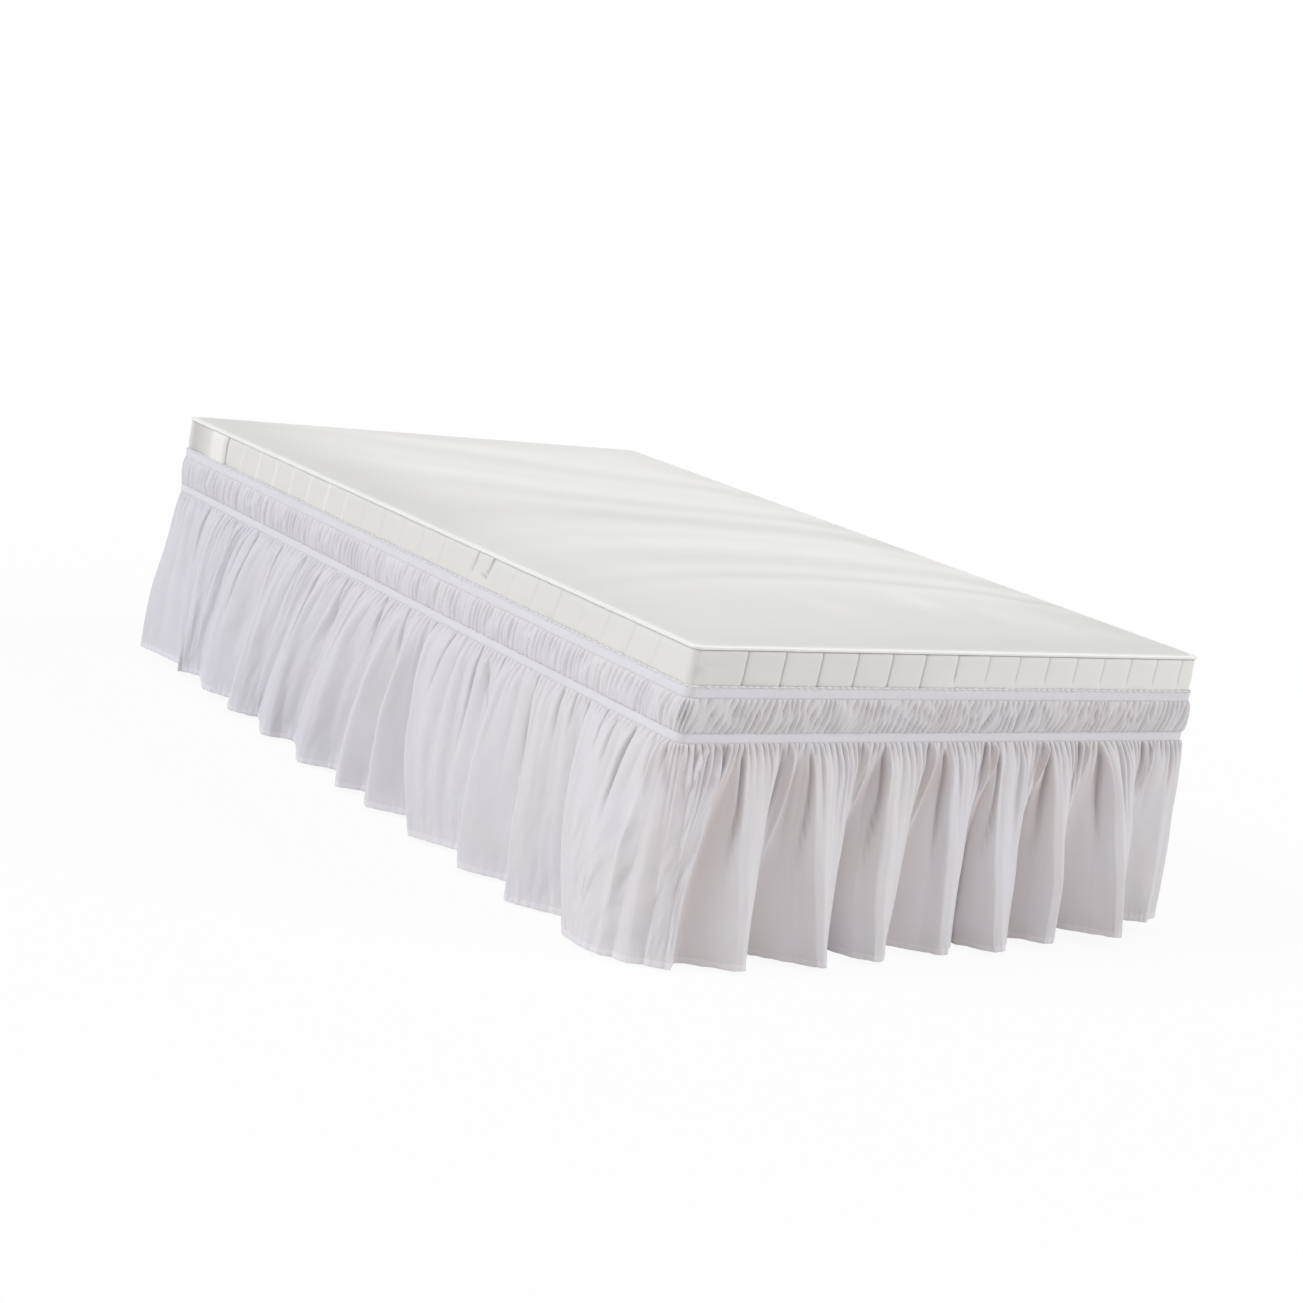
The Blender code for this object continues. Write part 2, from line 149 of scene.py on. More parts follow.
# Creases and ridges of the left side: (place where it starts, where it ends, fall at its start, at its end,
# height, half width)
LEFT_LINES = (
    (1.282, 1.289, 0.00, 0.60, -0.0065, 0.0034),
    (1.311, 1.364, 0.04, 0.46, -0.0043, 0.0041),
    (1.359, 1.368, 0.00, 0.24, -0.0065, 0.0033),
    (1.116, 1.093, 0.00, 0.20, -0.0072, 0.0034),
    (1.093, 1.108, 0.12, 0.50, -0.0036, 0.0057),
    (1.016, 1.020, 0.00, 0.30, -0.0065, 0.0034),
    (1.469, 1.486, 0.00, 0.52, -0.0068, 0.0033),
    (1.630, 1.644, 0.00, 0.50, -0.0068, 0.0033),
    (1.774, 1.782, 0.00, 0.50, -0.0079, 0.0034),
    (1.549, 1.579, 0.00, 0.26, -0.0058, 0.0034),
    (1.591, 1.606, 0.00, 0.18, -0.0065, 0.0033),
    (1.687, 1.702, 0.00, 0.20, -0.0058, 0.0033),
    (1.721, 1.738, 0.00, 0.26, -0.0058, 0.0034),
    (1.185, 1.180, 0.00, 0.34, -0.0065, 0.0034),
    (1.226, 1.221, 0.00, 0.20, -0.0058, 0.0033),
    (0.929, 0.908, 0.00, 0.40, -0.0058, 0.0037),
    (0.843, 0.801, 0.00, 0.52, -0.0065, 0.0039),
    (0.772, 0.742, 0.00, 0.34, -0.0050, 0.0037),
    (0.675, 0.636, 0.00, 0.56, -0.0072, 0.0039),
    (0.595, 0.561, 0.00, 0.36, -0.0050, 0.0037),
    (0.492, 0.469, 0.00, 0.52, -0.0065, 0.0039),
    (0.384, 0.335, 0.00, 0.56, -0.0072, 0.0039),
    (0.280, 0.260, 0.00, 0.40, -0.0050, 0.0037),
    (0.217, 0.207, 0.00, 0.30, -0.0043, 0.0037),
    (0.154, 0.152, 0.00, 0.50, -0.0058, 0.0039),
    (1.831, 1.864, 0.00, 0.50, -0.0032, 0.0037),
    (1.856, 1.848, 0.00, 0.34, 0.0090, 0.0060),
    (1.846, 1.854, 0.40, 0.86, 0.0050, 0.0080),
)
# Ridges and creases by the near corner, from the start of the foot, in the same columns
CORNER_LINES = (
    (0.062, 0.031, 0.00, 0.36, 0.0090, 0.0052),
    (0.036, -0.012, 0.00, 0.24, 0.0095, 0.0052),
    (0.022, -0.008, 0.02, 0.26, -0.0040, 0.0045),
    (-0.026, -0.010, 0.03, 0.26, -0.0040, 0.0045),
    (0.076, 0.048, 0.00, 0.30, -0.0070, 0.0045),
    (0.004, 0.012, 0.55, 0.98, -0.0045, 0.0070),
    (-0.018, -0.015, 0.34, 1.70, 0.0034, 0.0036),
    (-0.003, -0.005, 0.26, 1.60, 0.0034, 0.0036),
    (-0.048, -0.044, 0.20, 1.60, 0.0040, 0.0085),
)
# Ridge and groove of a fan: (place from its start, place from where it joins, share of the fall at which
# it joins, height, half width before it, half width after it)
FAN_LINES = (
    (0.000, 0.006, 1.1, 0.0125, 0.00696, 0.0058),
    (-0.017, -0.004, 0.9, -0.0050, 0.0062, 0.0062),
)
RIDGE_LINE = (0.03, 0.62, -0.0062, 0.00338, 0.0026)  # crease before a ridge: fall at both ends, then as above
LINE_ROUNDNESS = 1.6
# Rules that ease from one value to another are (start, run, value before, value after), or (start, run)
# where they ease from 0 to 1. These two go by the share of a line's length.
LINE_GROWTH = (-0.04, 0.12)
LINE_FADE = (0.45, 0.55, 1.0, 0.0)

LEFT_RUN = BED_LENGTH - 2 * CORNER_RADIUS
FOOT_RUN = BED_WIDTH - 2 * CORNER_RADIUS
ARC_RUN = CORNER_RADIUS * math.pi / 2
FOOT_START = LEFT_RUN + ARC_RUN
FAR_CORNER_START = FOOT_START + FOOT_RUN
RIGHT_START = FAR_CORNER_START + ARC_RUN
SKIRT_END = RIGHT_START + LEFT_RUN
HEAD_START = SKIRT_END + ARC_RUN
LAST_CORNER_START = HEAD_START + FOOT_RUN
WHOLE_RUN = LAST_CORNER_START + ARC_RUN
SIDES = ((0.0, LEFT_RUN), (FOOT_START, FOOT_RUN), (RIGHT_START, LEFT_RUN), (HEAD_START, FOOT_RUN))
CORNERS = (LEFT_RUN + ARC_RUN / 2, FAR_CORNER_START + ARC_RUN / 2)  # middles of the two at the foot


# ---------------------------------------------------------------- settings


def length_setting(name, description, default, low, high):
    return bpy.props.FloatProperty(
        name=name, description=description, default=default, min=low, max=high, unit="LENGTH")


def colour_setting(name, description, default):
    return bpy.props.FloatVectorProperty(
        name=name, description=description, subtype="COLOR", default=default, min=0.0, max=1.0)


class BedSkirtSizes(bpy.types.PropertyGroup):
    gather_pitch: length_setting(
        "Gather pitch", "Distance from one fine gather to the next along the elastics", 0.0165, 0.006, 0.04)
    gather_depth: length_setting(
        "Gather depth", "How far a fine gather stands out between the elastics", 0.0088, 0.0, 0.012)
    cloth_thickness: length_setting(
        "Cloth thickness", "Thickness of the skirt's cloth", 0.0007, 0.0002, 0.003)
    hem_depth: length_setting("Hem depth", "Height of the stitched hem", 0.0115, 0.004, 0.05)
    stitch_pitch: length_setting(
        "Stitch pitch", "Distance from one stitch to the next", 0.0042, 0.0015, 0.02)
    thread_radius: length_setting("Thread radius", "Radius of the sewing thread", 0.00032, 0.0001, 0.001)
    tuck_depth: length_setting(
        "Tuck depth", "Depth of the deepest upright tucks in the block's border", 0.0030, 0.0, 0.006)


class BedSkirtColours(bpy.types.PropertyGroup):
    cloth: colour_setting("Skirt cloth", "Main colour of the skirt's cloth", (0.735, 0.729, 0.757))
    cloth_warm: colour_setting(
        "Skirt cloth, warm", "Warmer tone that drifts through the cloth", (0.746, 0.720, 0.706))
    # the cool tone is painted cool light, which the cloth takes on towards the head
    cloth_cool: colour_setting(
        "Skirt cloth, cool", "Cooler tone of the cloth towards the head of the bed", (0.704, 0.706, 0.762))
    elastic: colour_setting("Elastic", "Colour of the two elastics", (0.792, 0.794, 0.832))
    border: colour_setting("Border", "Colour of the block's border", (0.812, 0.818, 0.788))
    top: colour_setting("Top", "Colour of the block's top", (0.768, 0.780, 0.766))
    piping: colour_setting("Piping", "Colour of the piping", (0.925, 0.938, 0.915))
    thread: colour_setting("Thread", "Colour of the sewing thread", (0.860, 0.855, 0.880))
    wood: colour_setting("Wood", "Colour of the base and legs", (0.600, 0.450, 0.290))


# ---------------------------------------------------------------- the shape's rules

CORNER_GATHERS = 2.4  # gathers that each corner of the foot adds
GATHER_DRIFTS = ((1.3, 5.0), (0.55, 2.1))  # chance in their spacing: (gathers, its pitch in gather pitches)
RIDGE_WIDTH = 1.15  # power of a ridge's section, higher where it is narrower
LOWEST_RIDGE = 0.55
NOISE_VALUES = 1024  # that noise draws
NOISE2_VALUES = 256  # that noise2 draws each way
CALM_RUN = 0.060
SOFTEN_STEP = 0.0008


def smooth(t):
    """0 to 1 with level ends."""
    t = np.clip(t, 0.0, 1.0)
    return t * t * (3 - 2 * t)


def mix(a, b, t):
    return a + (b - a) * t


def eased(value, start, run, before=0.0, after=1.0):
    """Eases from one value, up to start, to another, from run past it."""
    return mix(before, after, smooth((value - start) / run))


def bell(distance, width):
    return np.exp(-((distance / width) ** 2))


def unit(values):
    """Values cut off at 0 and 1."""
    return np.clip(values, 0.0, 1.0)


def along(knots, s):
    """Values read from (place, value) knots, eased between them."""
    places, values = np.array(knots).T
    number = np.clip(np.searchsorted(places, s, side="left") - 1, 0, len(places) - 2)
    t = (s - places[number]) / (places[number + 1] - places[number])
    return mix(values[number], values[number + 1], smooth(t))


def noise(place, pitch, seed):
    """Smooth random values from 0 to 1, a new one at every pitch."""
    table = np.random.RandomState(seed).rand(NOISE_VALUES)
    at = np.asarray(place) / pitch
    cell = np.floor(at).astype(int)
    return mix(table[cell % NOISE_VALUES], table[(cell + 1) % NOISE_VALUES], smooth(at - cell))


def noise2(across, down, pitches, seed):
    """Smooth random values from -0.5 to 0.5 over a surface."""
    table = np.random.RandomState(seed).rand(NOISE2_VALUES, NOISE2_VALUES)
    a, d = np.broadcast_arrays(across / pitches[0], down / pitches[1])
    i, j = np.floor(a).astype(int), np.floor(d).astype(int)
    u, v = smooth(a - i), smooth(d - j)
    i, j, i1, j1 = (cell % NOISE2_VALUES for cell in (i, j, i + 1, j + 1))
    return mix(mix(table[i, j], table[i1, j], u), mix(table[i, j1], table[i1, j1], u), v) - 0.5


def outline(s, reach):
    """Points (x, y) that lie reach outside the block's side, s along it from the left head corner."""
    half_x, half_y = FOOT_RUN / 2, LEFT_RUN / 2
    starts, runs = np.array(SIDES).T
    corners = np.array(((-half_x, half_y), (-half_x, -half_y), (half_x, -half_y), (half_x, half_y)))
    ways = np.array(((0, -1), (1, 0), (0, 1), (-1, 0)))
    side = np.clip(np.searchsorted(starts, s, side="right") - 1, 0, 3)
    local = s - starts[side]
    straight = np.minimum(local, runs[side])
    turned = math.pi * (1 + side / 2) + (local - straight) / CORNER_RADIUS
    x = corners[side, 0] + ways[side, 0] * straight + (CORNER_RADIUS + reach) * np.cos(turned)
    y = corners[side, 1] + ways[side, 1] * straight + (CORNER_RADIUS + reach) * np.sin(turned)
    return x, y + BED_SHIFT


def outline_past_end(s, reach):
    """outline, but straight on past the two ends of the skirt."""
    inside = np.clip(s, 0.0, SKIRT_END)
    x, y = outline(inside, reach)
    return x, y - np.where(inside < SKIRT_END / 2, 1, -1) * (s - inside)


def wander(number, middle, amount, rate):
    return middle + amount * math.sin(rate * number)


def bend(places, fall):
    """A place that moves through three places: at the elastic, half way down and at the hem."""
    top, middle, hem = places
    return top * (1 - fall) * (1 - 2 * fall) + 4 * middle * fall * (1 - fall) + hem * fall * (2 * fall - 1)


def fold_stations():
    """The skirt's crests and hollows in order: (its three places, share of its reach high up, reach)."""
    rows = []

    def station(places, reach, early=1.0, start=0.0):
        rows.append((*(start + place for place in places), early, reach))

    def foot_station(places, reach, section):
        station(places, section[0] * reach, section[1], FOOT_START)

    station(*LEFT_END, LEFT_END_EARLY)
    for crest, reach, hollow, hollow_reach in LEFT_FOLDS:
        station(hollow, hollow_reach, HOLLOW_EARLY)
        station(crest, reach, CREST_EARLY)
    for places, reach in CORNER_PANEL:
        station(places, reach)
    station(*FOOT_FIRST_CREST, FIRST_CREST_EARLY, FOOT_START)
    station(*FOOT_FIRST_HOLLOW, FIRST_HOLLOW_EARLY, FOOT_START)
    for left, reach, right, crease, fan, _, hollow_reach in FOOT_FOLDS:
        foot_station(crease, reach, RIDGE_CREASE)
        foot_station(left, reach, RIDGE_LEFT_EDGE)
        foot_station([place + step for place, step in zip(left, RIDGE_FRONT)], reach, RIDGE_CREST)
        foot_station([place + RIDGE_BACK for place in right], reach, RIDGE_RIGHT_EDGE)
        hollow = [place + step for place, step in zip((fan, right[1], right[2]), HOLLOW_PLACE)]
        station(hollow, hollow_reach, FOOT_HOLLOW_EARLY, FOOT_START)
    for places, reach in FAR_CORNER_PANEL:
        station(places, reach, 1.0, FOOT_START)
    for number in range(RIGHT_FOLDS):
        crest = RIGHT_START + RIGHT_PITCH * number + wander(number, *RIGHT_CREST)
        hollow = crest - wander(number, *RIGHT_FLANK)
        lean = wander(number, *RIGHT_LEAN)
        for place, reach, early in (
            (hollow, RIGHT_HOLLOW, HOLLOW_EARLY),
            (crest, RIGHT_REACH, RIGHT_CREST_EARLY),
        ):
            station((place + lean, place + lean / 2, place), wander(number, *reach), early)
    station(*RIGHT_END, 1.0, SKIRT_END)
    return np.array(rows)


def calm(s):
    """0 at the skirt's corners and ends, 1 away from them."""
    places = (0.0, *CORNERS, SKIRT_END)
    return smooth(np.min([np.abs(s - place) for place in places], axis=0) / CALM_RUN)


def gather_count(s, pitch, seed):
    """How many gathers lie before a place s: an uneven running count, with more of them round the corners."""
    corners = eased(s, LEFT_RUN, ARC_RUN) + eased(s, FAR_CORNER_START, ARC_RUN)
    count = s / pitch + CORNER_GATHERS * corners
    for number, (gathers, pitches) in enumerate(GATHER_DRIFTS):
        count = count + gathers * noise(s, pitches * pitch, seed + number)
    return count


def by_ridge(count, seed):
    """A random value from 0 to 1 for each ridge, eased from one to the next."""
    return noise(count + 0.5, 1.0, seed)


def pleat(count, seed, width=RIDGE_WIDTH):
    """Rounded ridges with sharp valleys, each ridge of its own height: 0 in a valley, at most 1."""
    return np.abs(np.sin(np.pi * count)) ** width * mix(LOWEST_RIDGE, 1.0, by_ridge(count, seed))


def ridges_along(s, pitch, seeds):
    """Uneven ridges, about a pitch apart, by the seeds of their places and of their heights."""
    place_seed, height_seed = seeds
    return pleat(gather_count(s, pitch, place_seed), height_seed)


def soften(values, s, distance):
    """Evens out values along s over about this distance."""
    even = np.arange(s[0], s[-1] + SOFTEN_STEP, SOFTEN_STEP)
    away = np.arange(-3 * distance, 3 * distance + SOFTEN_STEP, SOFTEN_STEP)
    weights = bell(away, distance)
    before = len(away) // 2
    padded = np.pad(np.interp(even, s, values), (before, len(away) - 1 - before), mode="edge")
    return np.interp(s, even, np.convolve(padded, weights / weights.sum(), "valid"))


# ---------------------------------------------------------------- meshes


def grid_mesh(name, points, uv=None, values=None, closed=False):
    """A mesh over points[row, column], rows running down and columns along s, with its faces outwards."""
    rows, columns = points.shape[:2]
    mesh = bpy.data.meshes.new(name)
    index = np.arange(rows * columns).reshape(rows, columns)
    right = np.roll(index, -1, axis=1) if closed else index[:, 1:]
    left = index if closed else index[:, :-1]
    quads = np.stack([left[:-1], left[1:], right[1:], right[:-1]], axis=-1).reshape(-1, 4)
    mesh.vertices.add(rows * columns)
    mesh.vertices.foreach_set("co", points.reshape(-1).astype(np.float32))
    mesh.loops.add(quads.size)
    mesh.loops.foreach_set("vertex_index", quads.reshape(-1).astype(np.int32))
    mesh.polygons.add(len(quads))
    mesh.polygons.foreach_set("loop_start", np.arange(0, quads.size, 4, dtype=np.int32))
    mesh.update(calc_edges=True)
    if uv is not None:
        layer = mesh.uv_layers.new(name="cloth")
        layer.data.foreach_set("uv", uv.reshape(-1, 2)[quads.reshape(-1)].reshape(-1).astype(np.float32))
    for key, value in (values or {}).items():
        attribute = mesh.attributes.new(key, "FLOAT", "POINT")
        attribute.data.foreach_set("value", np.ascontiguousarray(value, dtype=np.float32).reshape(-1))
    mesh.shade_smooth()
    mesh.validate()
    return mesh


def side_by_side(*values):
    """The values of every point side by side, each spread to the same shape first."""
    return np.stack(np.broadcast_arrays(*values), axis=-1)


def surface_map(across, points):
    """Coordinates in metres of points[row, column]: their place across, and their height."""
    return side_by_side(across, points[:, :, 2])


def close_mesh(mesh, merge_distance):
    """Joins the ends of a ring, closes open ends, and points all faces outwards."""
    bm = bmesh.new()
    bm.from_mesh(mesh)
    bmesh.ops.remove_doubles(bm, verts=bm.verts, dist=merge_distance)
    open_edges = [edge for edge in bm.edges if edge.is_boundary]
    if open_edges:
        bmesh.ops.holes_fill(bm, edges=open_edges, sides=0)
    bmesh.ops.triangulate(bm, faces=[face for face in bm.faces if len(face.verts) > 4])
    bmesh.ops.recalc_face_normals(bm, faces=bm.faces)
    bm.to_mesh(mesh)
    bm.free()
    mesh.shade_smooth()


def add_object(name, mesh, material):
    obj = bpy.data.objects.new(name, mesh)
    bpy.context.scene.collection.objects.link(obj)
    mesh.materials.clear()
    mesh.materials.append(material)
    return obj


def thicken(obj, thickness):
    modifier = obj.modifiers.new("thickness", "SOLIDIFY")
    modifier.thickness = thickness
    modifier.offset = 0.0
    modifier.use_even_offset = False
    return obj


def outward(points):
    """Unit directions out of a surface points[row, column]."""
    normal = np.cross(np.gradient(points, axis=0), np.gradient(points, axis=1))
    return normal / np.maximum(np.linalg.norm(normal, axis=-1, keepdims=True), 1e-12)


# ---------------------------------------------------------------- materials

CLOUD_RANGE = (0.35, 0.7)  # of a noise, over which it clouds a tone
WHOLE_RANGE = (0.0, 1.0)


def shader_of(name, color, roughness, inputs=None):
    """A new material, its node tree and its Principled shader, with more of the shader's inputs by name."""
    material = bpy.data.materials.new(name)
    material.use_nodes = True
    shader = material.node_tree.nodes["Principled BSDF"]
    values = {"Base Color": (*color, 1.0), "Roughness": roughness, "Specular IOR Level": 0.25}
    for key, value in {**values, **(inputs or {})}.items():
        shader.inputs[key].default_value = value
    material.diffuse_color = (*color, 1.0)
    return material, material.node_tree, shader


def add_node(tree, kind, inputs=None, **settings):
    """A node of this kind, with its settings, and its inputs set or linked."""
    node = tree.nodes.new(kind)
    for key, value in settings.items():
        setattr(node, key, value)
    for key, value in (inputs or {}).items():
        if isinstance(value, bpy.types.NodeSocket):
            tree.links.new(value, node.inputs[key])
        else:
            node.inputs[key].default_value = value
    return node


def place_in(tree):
    return add_node(tree, "ShaderNodeTexCoord").outputs["Object"]


def surface_in(tree):
    return add_node(tree, "ShaderNodeTexCoord").outputs["UV"]


def value_of(tree, attribute):
    return add_node(tree, "ShaderNodeAttribute", attribute_name=attribute).outputs["Fac"]


def coordinate(tree, vector, axis):
    return add_node(tree, "ShaderNodeSeparateXYZ", {"Vector": vector}).outputs[axis]


def mapped(tree, vector, inputs, **settings):
    """Stretched or turned coordinates."""
    return add_node(tree, "ShaderNodeMapping", {"Vector": vector, **inputs}, **settings).outputs[0]


def uneven(tree, vector, scale, detail):
    """Cloudy noise from 0 to 1."""
    inputs = {"Vector": vector, "Scale": scale, "Detail": detail, "Roughness": 0.55}
    return add_node(tree, "ShaderNodeTexNoise", inputs).outputs["Fac"]


def bands(tree, vector, pitch, way, distortion, more=None):
    """Waves from 0 to 1, a pitch apart."""
    scale = 2 * math.pi / (20 * pitch)
    inputs = {"Vector": vector, "Scale": scale, "Distortion": distortion, **(more or {})}
    return add_node(tree, "ShaderNodeTexWave", inputs, bands_direction=way).outputs["Fac"]


def weave(tree, vector, pitch):
    """Over-and-under of a plain weave, from 0 to 1, on a surface map in metres."""
    warp, weft = (bands(tree, vector, pitch, way, 0.6, {"Detail Scale": 0.05}) for way in "XY")
    return add_node(tree, "ShaderNodeMath", {0: warp, 1: weft}, operation="MULTIPLY").outputs[0]


def span(tree, value, start, end, **settings):
    """Maps a value from its range start to the range end."""
    inputs = {"Value": value, "From Min": start[0], "From Max": start[1], "To Min": end[0], "To Max": end[1]}
    return add_node(tree, "ShaderNodeMapRange", inputs, **settings).outputs["Result"]


def colour_mix(tree, factor, a, b):
    """Colour a where the factor is 0, and colour b where it is 1."""
    a, b = (value if isinstance(value, bpy.types.NodeSocket) else (*value, 1.0) for value in (a, b))
    return add_node(tree, "ShaderNodeMix", {0: factor, 6: a, 7: b}, data_type="RGBA").outputs[2]


def tinted(tree, tone, value, start, amount, tint):
    """A tone that takes on up to this amount of a tint, as a value runs over its range start."""
    return colour_mix(tree, span(tree, value, start, (0.0, amount)), tone, tint)


def clouded(tree, tone, cloudy, amount, tint):
    """A tone that takes on up to this amount of a tint where a noise is high."""
    return tinted(tree, tone, cloudy, CLOUD_RANGE, amount, tint)


def scaled(color, share):
    return tuple(min(c * share, 1.0) for c in color)


def scaled_tone(tree, tone, share):
    """The colour of a socket, made darker or lighter by a share."""
    return add_node(tree, "ShaderNodeVectorMath", {0: tone, "Scale": share}, operation="SCALE").outputs[0]


def finish_shader(tree, shader, tone, heights, roughness=None):
    """Links a tone, a roughness, and bumps (height, distance, strength), the coarsest first."""
    tree.links.new(tone, shader.inputs["Base Color"])
    if roughness is not None:
        tree.links.new(roughness, shader.inputs["Roughness"])
    below = {}
    for height, distance, strength in heights:
        inputs = {"Height": height, "Distance": distance, "Strength": strength, **below}
        below = {"Normal": add_node(tree, "ShaderNodeBump", inputs).outputs["Normal"]}
    tree.links.new(below["Normal"], shader.inputs["Normal"])


# Tints of the cloth by its point values: (value, strongest share, tint). hollow, recess and crease paint
# shade into the cloth's hollows, recesses and creases; hem lightens the doubled hem, and paints light on
# frills and on the side strip
CLOTH_TINTS = (
    ("hollow", 0.45, (0.40, 0.365, 0.385)),
    ("recess", 0.52, (0.62, 0.51, 0.465)),
    ("crease", 0.60, (0.20, 0.155, 0.14)),
    ("hem", 0.42, (0.90, 0.89, 0.92)),
)
CRUMPLE_TURN = (0.0, 0.0, -0.5)
CRUMPLE_SIZE = (0.042, 0.105, 1.0)
THREAD_PITCH = 0.0008
RIB_PITCH = 0.0019
RIB_CROSS_PITCH = 0.0011
# dark tint that paints shade into the cover's creases: tucks, under the piping, the left head end and by the
# foot's corners
BORDER_SHADE_TINT = (0.27, 0.265, 0.25)
TOP_TINT_RUN = 0.004  # height over the piping's middle by which the cover has the top's colour
TWILL_PITCH = 0.0012
GRAIN_LEVEL = (1.6, 22.0, 22.0)
GRAIN_UPRIGHT = (22.0, 22.0, 1.6)
RING_PITCH = math.pi / 9


def cloth_material(colours):
    material, tree, shader = shader_of(
        "plain woven skirt cloth", colours.cloth, 0.82, {"Sheen Weight": 0.25, "Sheen Roughness": 0.45})
    surface, place = surface_in(tree), place_in(tree)
    drift = uneven(tree, place, 9.0, 2.0)
    tone = tinted(tree, colours.cloth, drift, (0.40, 0.66), 0.45, colours.cloth_warm)
    # painted cool light: the cloth turns cooler and a little darker towards the head of the bed
    tone = tinted(tree, tone, coordinate(tree, place, "Y"), (-0.9, 0.7), 0.8, colours.cloth_cool)
    # painted shade in hollows, recesses and creases; painted light on frills and side strip, besides the
    # lighter hem
    for value, amount, tint in CLOTH_TINTS:
        tone = tinted(tree, tone, value_of(tree, value), WHOLE_RANGE, amount, tint)
    slub = uneven(tree, mapped(tree, surface, {"Scale": (40.0, 900.0, 1.0)}), 1.0, 2.0)
    tone = tinted(tree, tone, slub, (0.3, 0.7), 0.05, scaled(colours.cloth, 0.86))
    slanted = mapped(tree, surface, {"Rotation": CRUMPLE_TURN, "Scale": CRUMPLE_SIZE}, vector_type="TEXTURE")
    crumpled = span(tree, value_of(tree, "crumple"), WHOLE_RANGE, (0.0, 0.9))
    heights = (
        (uneven(tree, place, 26.0, 4.0), 0.0035, 0.35),
        (uneven(tree, slanted, 1.0, 1.2), 0.011, crumpled),
        (slub, 0.0002, 0.25),
        (weave(tree, surface, THREAD_PITCH), 0.0001, 0.30),
    )
    finish_shader(tree, shader, tone, heights, span(tree, slub, (0.2, 0.8), (0.76, 0.88)))
    return material


def elastic_material(colours):
    material, tree, shader = shader_of("ribbed elastic", colours.elastic, 0.62, {"Sheen Weight": 0.40})
    surface = surface_in(tree)
    ribs = bands(tree, surface, RIB_PITCH, "Y", 0.2)
    cross = bands(tree, surface, RIB_CROSS_PITCH, "X", 1.0)
    darker = scaled(colours.elastic, 0.90)
    tone = tinted(tree, colours.elastic, ribs, (1.0, 0.0), 0.15, darker)
    tone = clouded(tree, tone, uneven(tree, surface, 22.0, 3.0), 0.25, darker)
    heights = ((ribs, 0.0003, 0.6), (cross, 0.00012, 0.4))
    finish_shader(tree, shader, tone, heights, span(tree, cross, WHOLE_RANGE, (0.55, 0.70)))
    return material


def cover_material(colours):
    material, tree, shader = shader_of("smooth block cover", colours.border, 0.70, {"Sheen Weight": 0.12})
    place = place_in(tree)
    edge = (PIPING_HEIGHT, PIPING_HEIGHT + TOP_TINT_RUN)
    tone = tinted(tree, colours.border, coordinate(tree, place, "Z"), edge, 1.0, colours.top)
    # the tone value is painted light and shade of the border and the top
    darker, lighter = scaled_tone(tree, tone, 0.90), scaled_tone(tree, tone, 1.10)
    tone = colour_mix(tree, value_of(tree, "tone"), darker, lighter)
    # painted shade in the tucks, under the piping, at the left head end and by the foot's corners
    tone = tinted(tree, tone, value_of(tree, "crease"), WHOLE_RANGE, 0.62, BORDER_SHADE_TINT)
    cloudy = uneven(tree, place, 7.0, 3.0)
    tone = clouded(tree, tone, cloudy, 0.5, scaled_tone(tree, tone, 0.965))
    fine = uneven(tree, place, 900.0, 2.0)
    heights = ((uneven(tree, place, 30.0, 3.0), 0.002, 0.18), (fine, 0.00012, 0.35))
    finish_shader(tree, shader, tone, heights, span(tree, fine, (0.3, 0.7), (0.64, 0.76)))
    return material


def piping_material(colours):
    material, tree, shader = shader_of(
        "satin piping", colours.piping, 0.40, {"Specular IOR Level": 0.7, "Sheen Weight": 0.3})
    surface = surface_in(tree)
    twill = bands(tree, surface, TWILL_PITCH, "DIAGONAL", 0.4)
    cloudy = uneven(tree, surface, 40.0, 2.0)
    tone = clouded(tree, colours.piping, cloudy, 0.4, scaled(colours.piping, 0.94))
    heights = ((cloudy, 0.0006, 0.4), (twill, 0.00008, 0.4))
    finish_shader(tree, shader, tone, heights, span(tree, twill, WHOLE_RANGE, (0.34, 0.46)))
    return material


def thread_material(colours):
    material, tree, shader = shader_of("sewing thread", colours.thread, 0.5)
    cloudy = uneven(tree, place_in(tree), 300.0, 2.0)
    tone = clouded(tree, colours.thread, cloudy, 0.5, scaled(colours.thread, 0.9))
    finish_shader(tree, shader, tone, ((cloudy, 0.0001, 0.3),))
    return material


def wood_material(colours, name, stretch):
    """Pale wood with its grain along the axis that is stretched least."""
    material, tree, shader = shader_of(name, colours.wood, 0.5)
    grained = mapped(tree, place_in(tree), {"Scale": stretch})
    rings = bands(tree, grained, RING_PITCH, "X", 5.0, {"Detail": 3.0, "Detail Scale": 0.8})
    fibre = uneven(tree, mapped(tree, grained, {"Scale": (14.0, 14.0, 14.0)}), 1.0, 4.0)
    tone = tinted(tree, colours.wood, rings, WHOLE_RANGE, 0.40, scaled(colours.wood, 0.72))
    tone = clouded(tree, tone, fibre, 0.35, scaled(colours.wood, 1.18))
    heights = ((rings, 0.0004, 0.25), (fibre, 0.0002, 0.35))
    finish_shader(tree, shader, tone, heights, span(tree, fibre, (0.3, 0.7), (0.42, 0.58)))
    return material


def material_named(name, make, *arguments):
    return bpy.data.materials.get(name) or make(*arguments)


# ---------------------------------------------------------------- the skirt's cloth

CLOTH_VALUES = ("hollow", "recess", "crease", "hem", "crumple")  # that its material reads at each point: painted shade (hollow, recess, crease), the lighter hem with painted light (hem), and bumps (crumple)
CLOTH_FULLNESS = 1.32  # length of the flat cloth for each metre along the elastics
HEADING_HEIGHT = 0.098
FALL_HEIGHT = 0.392
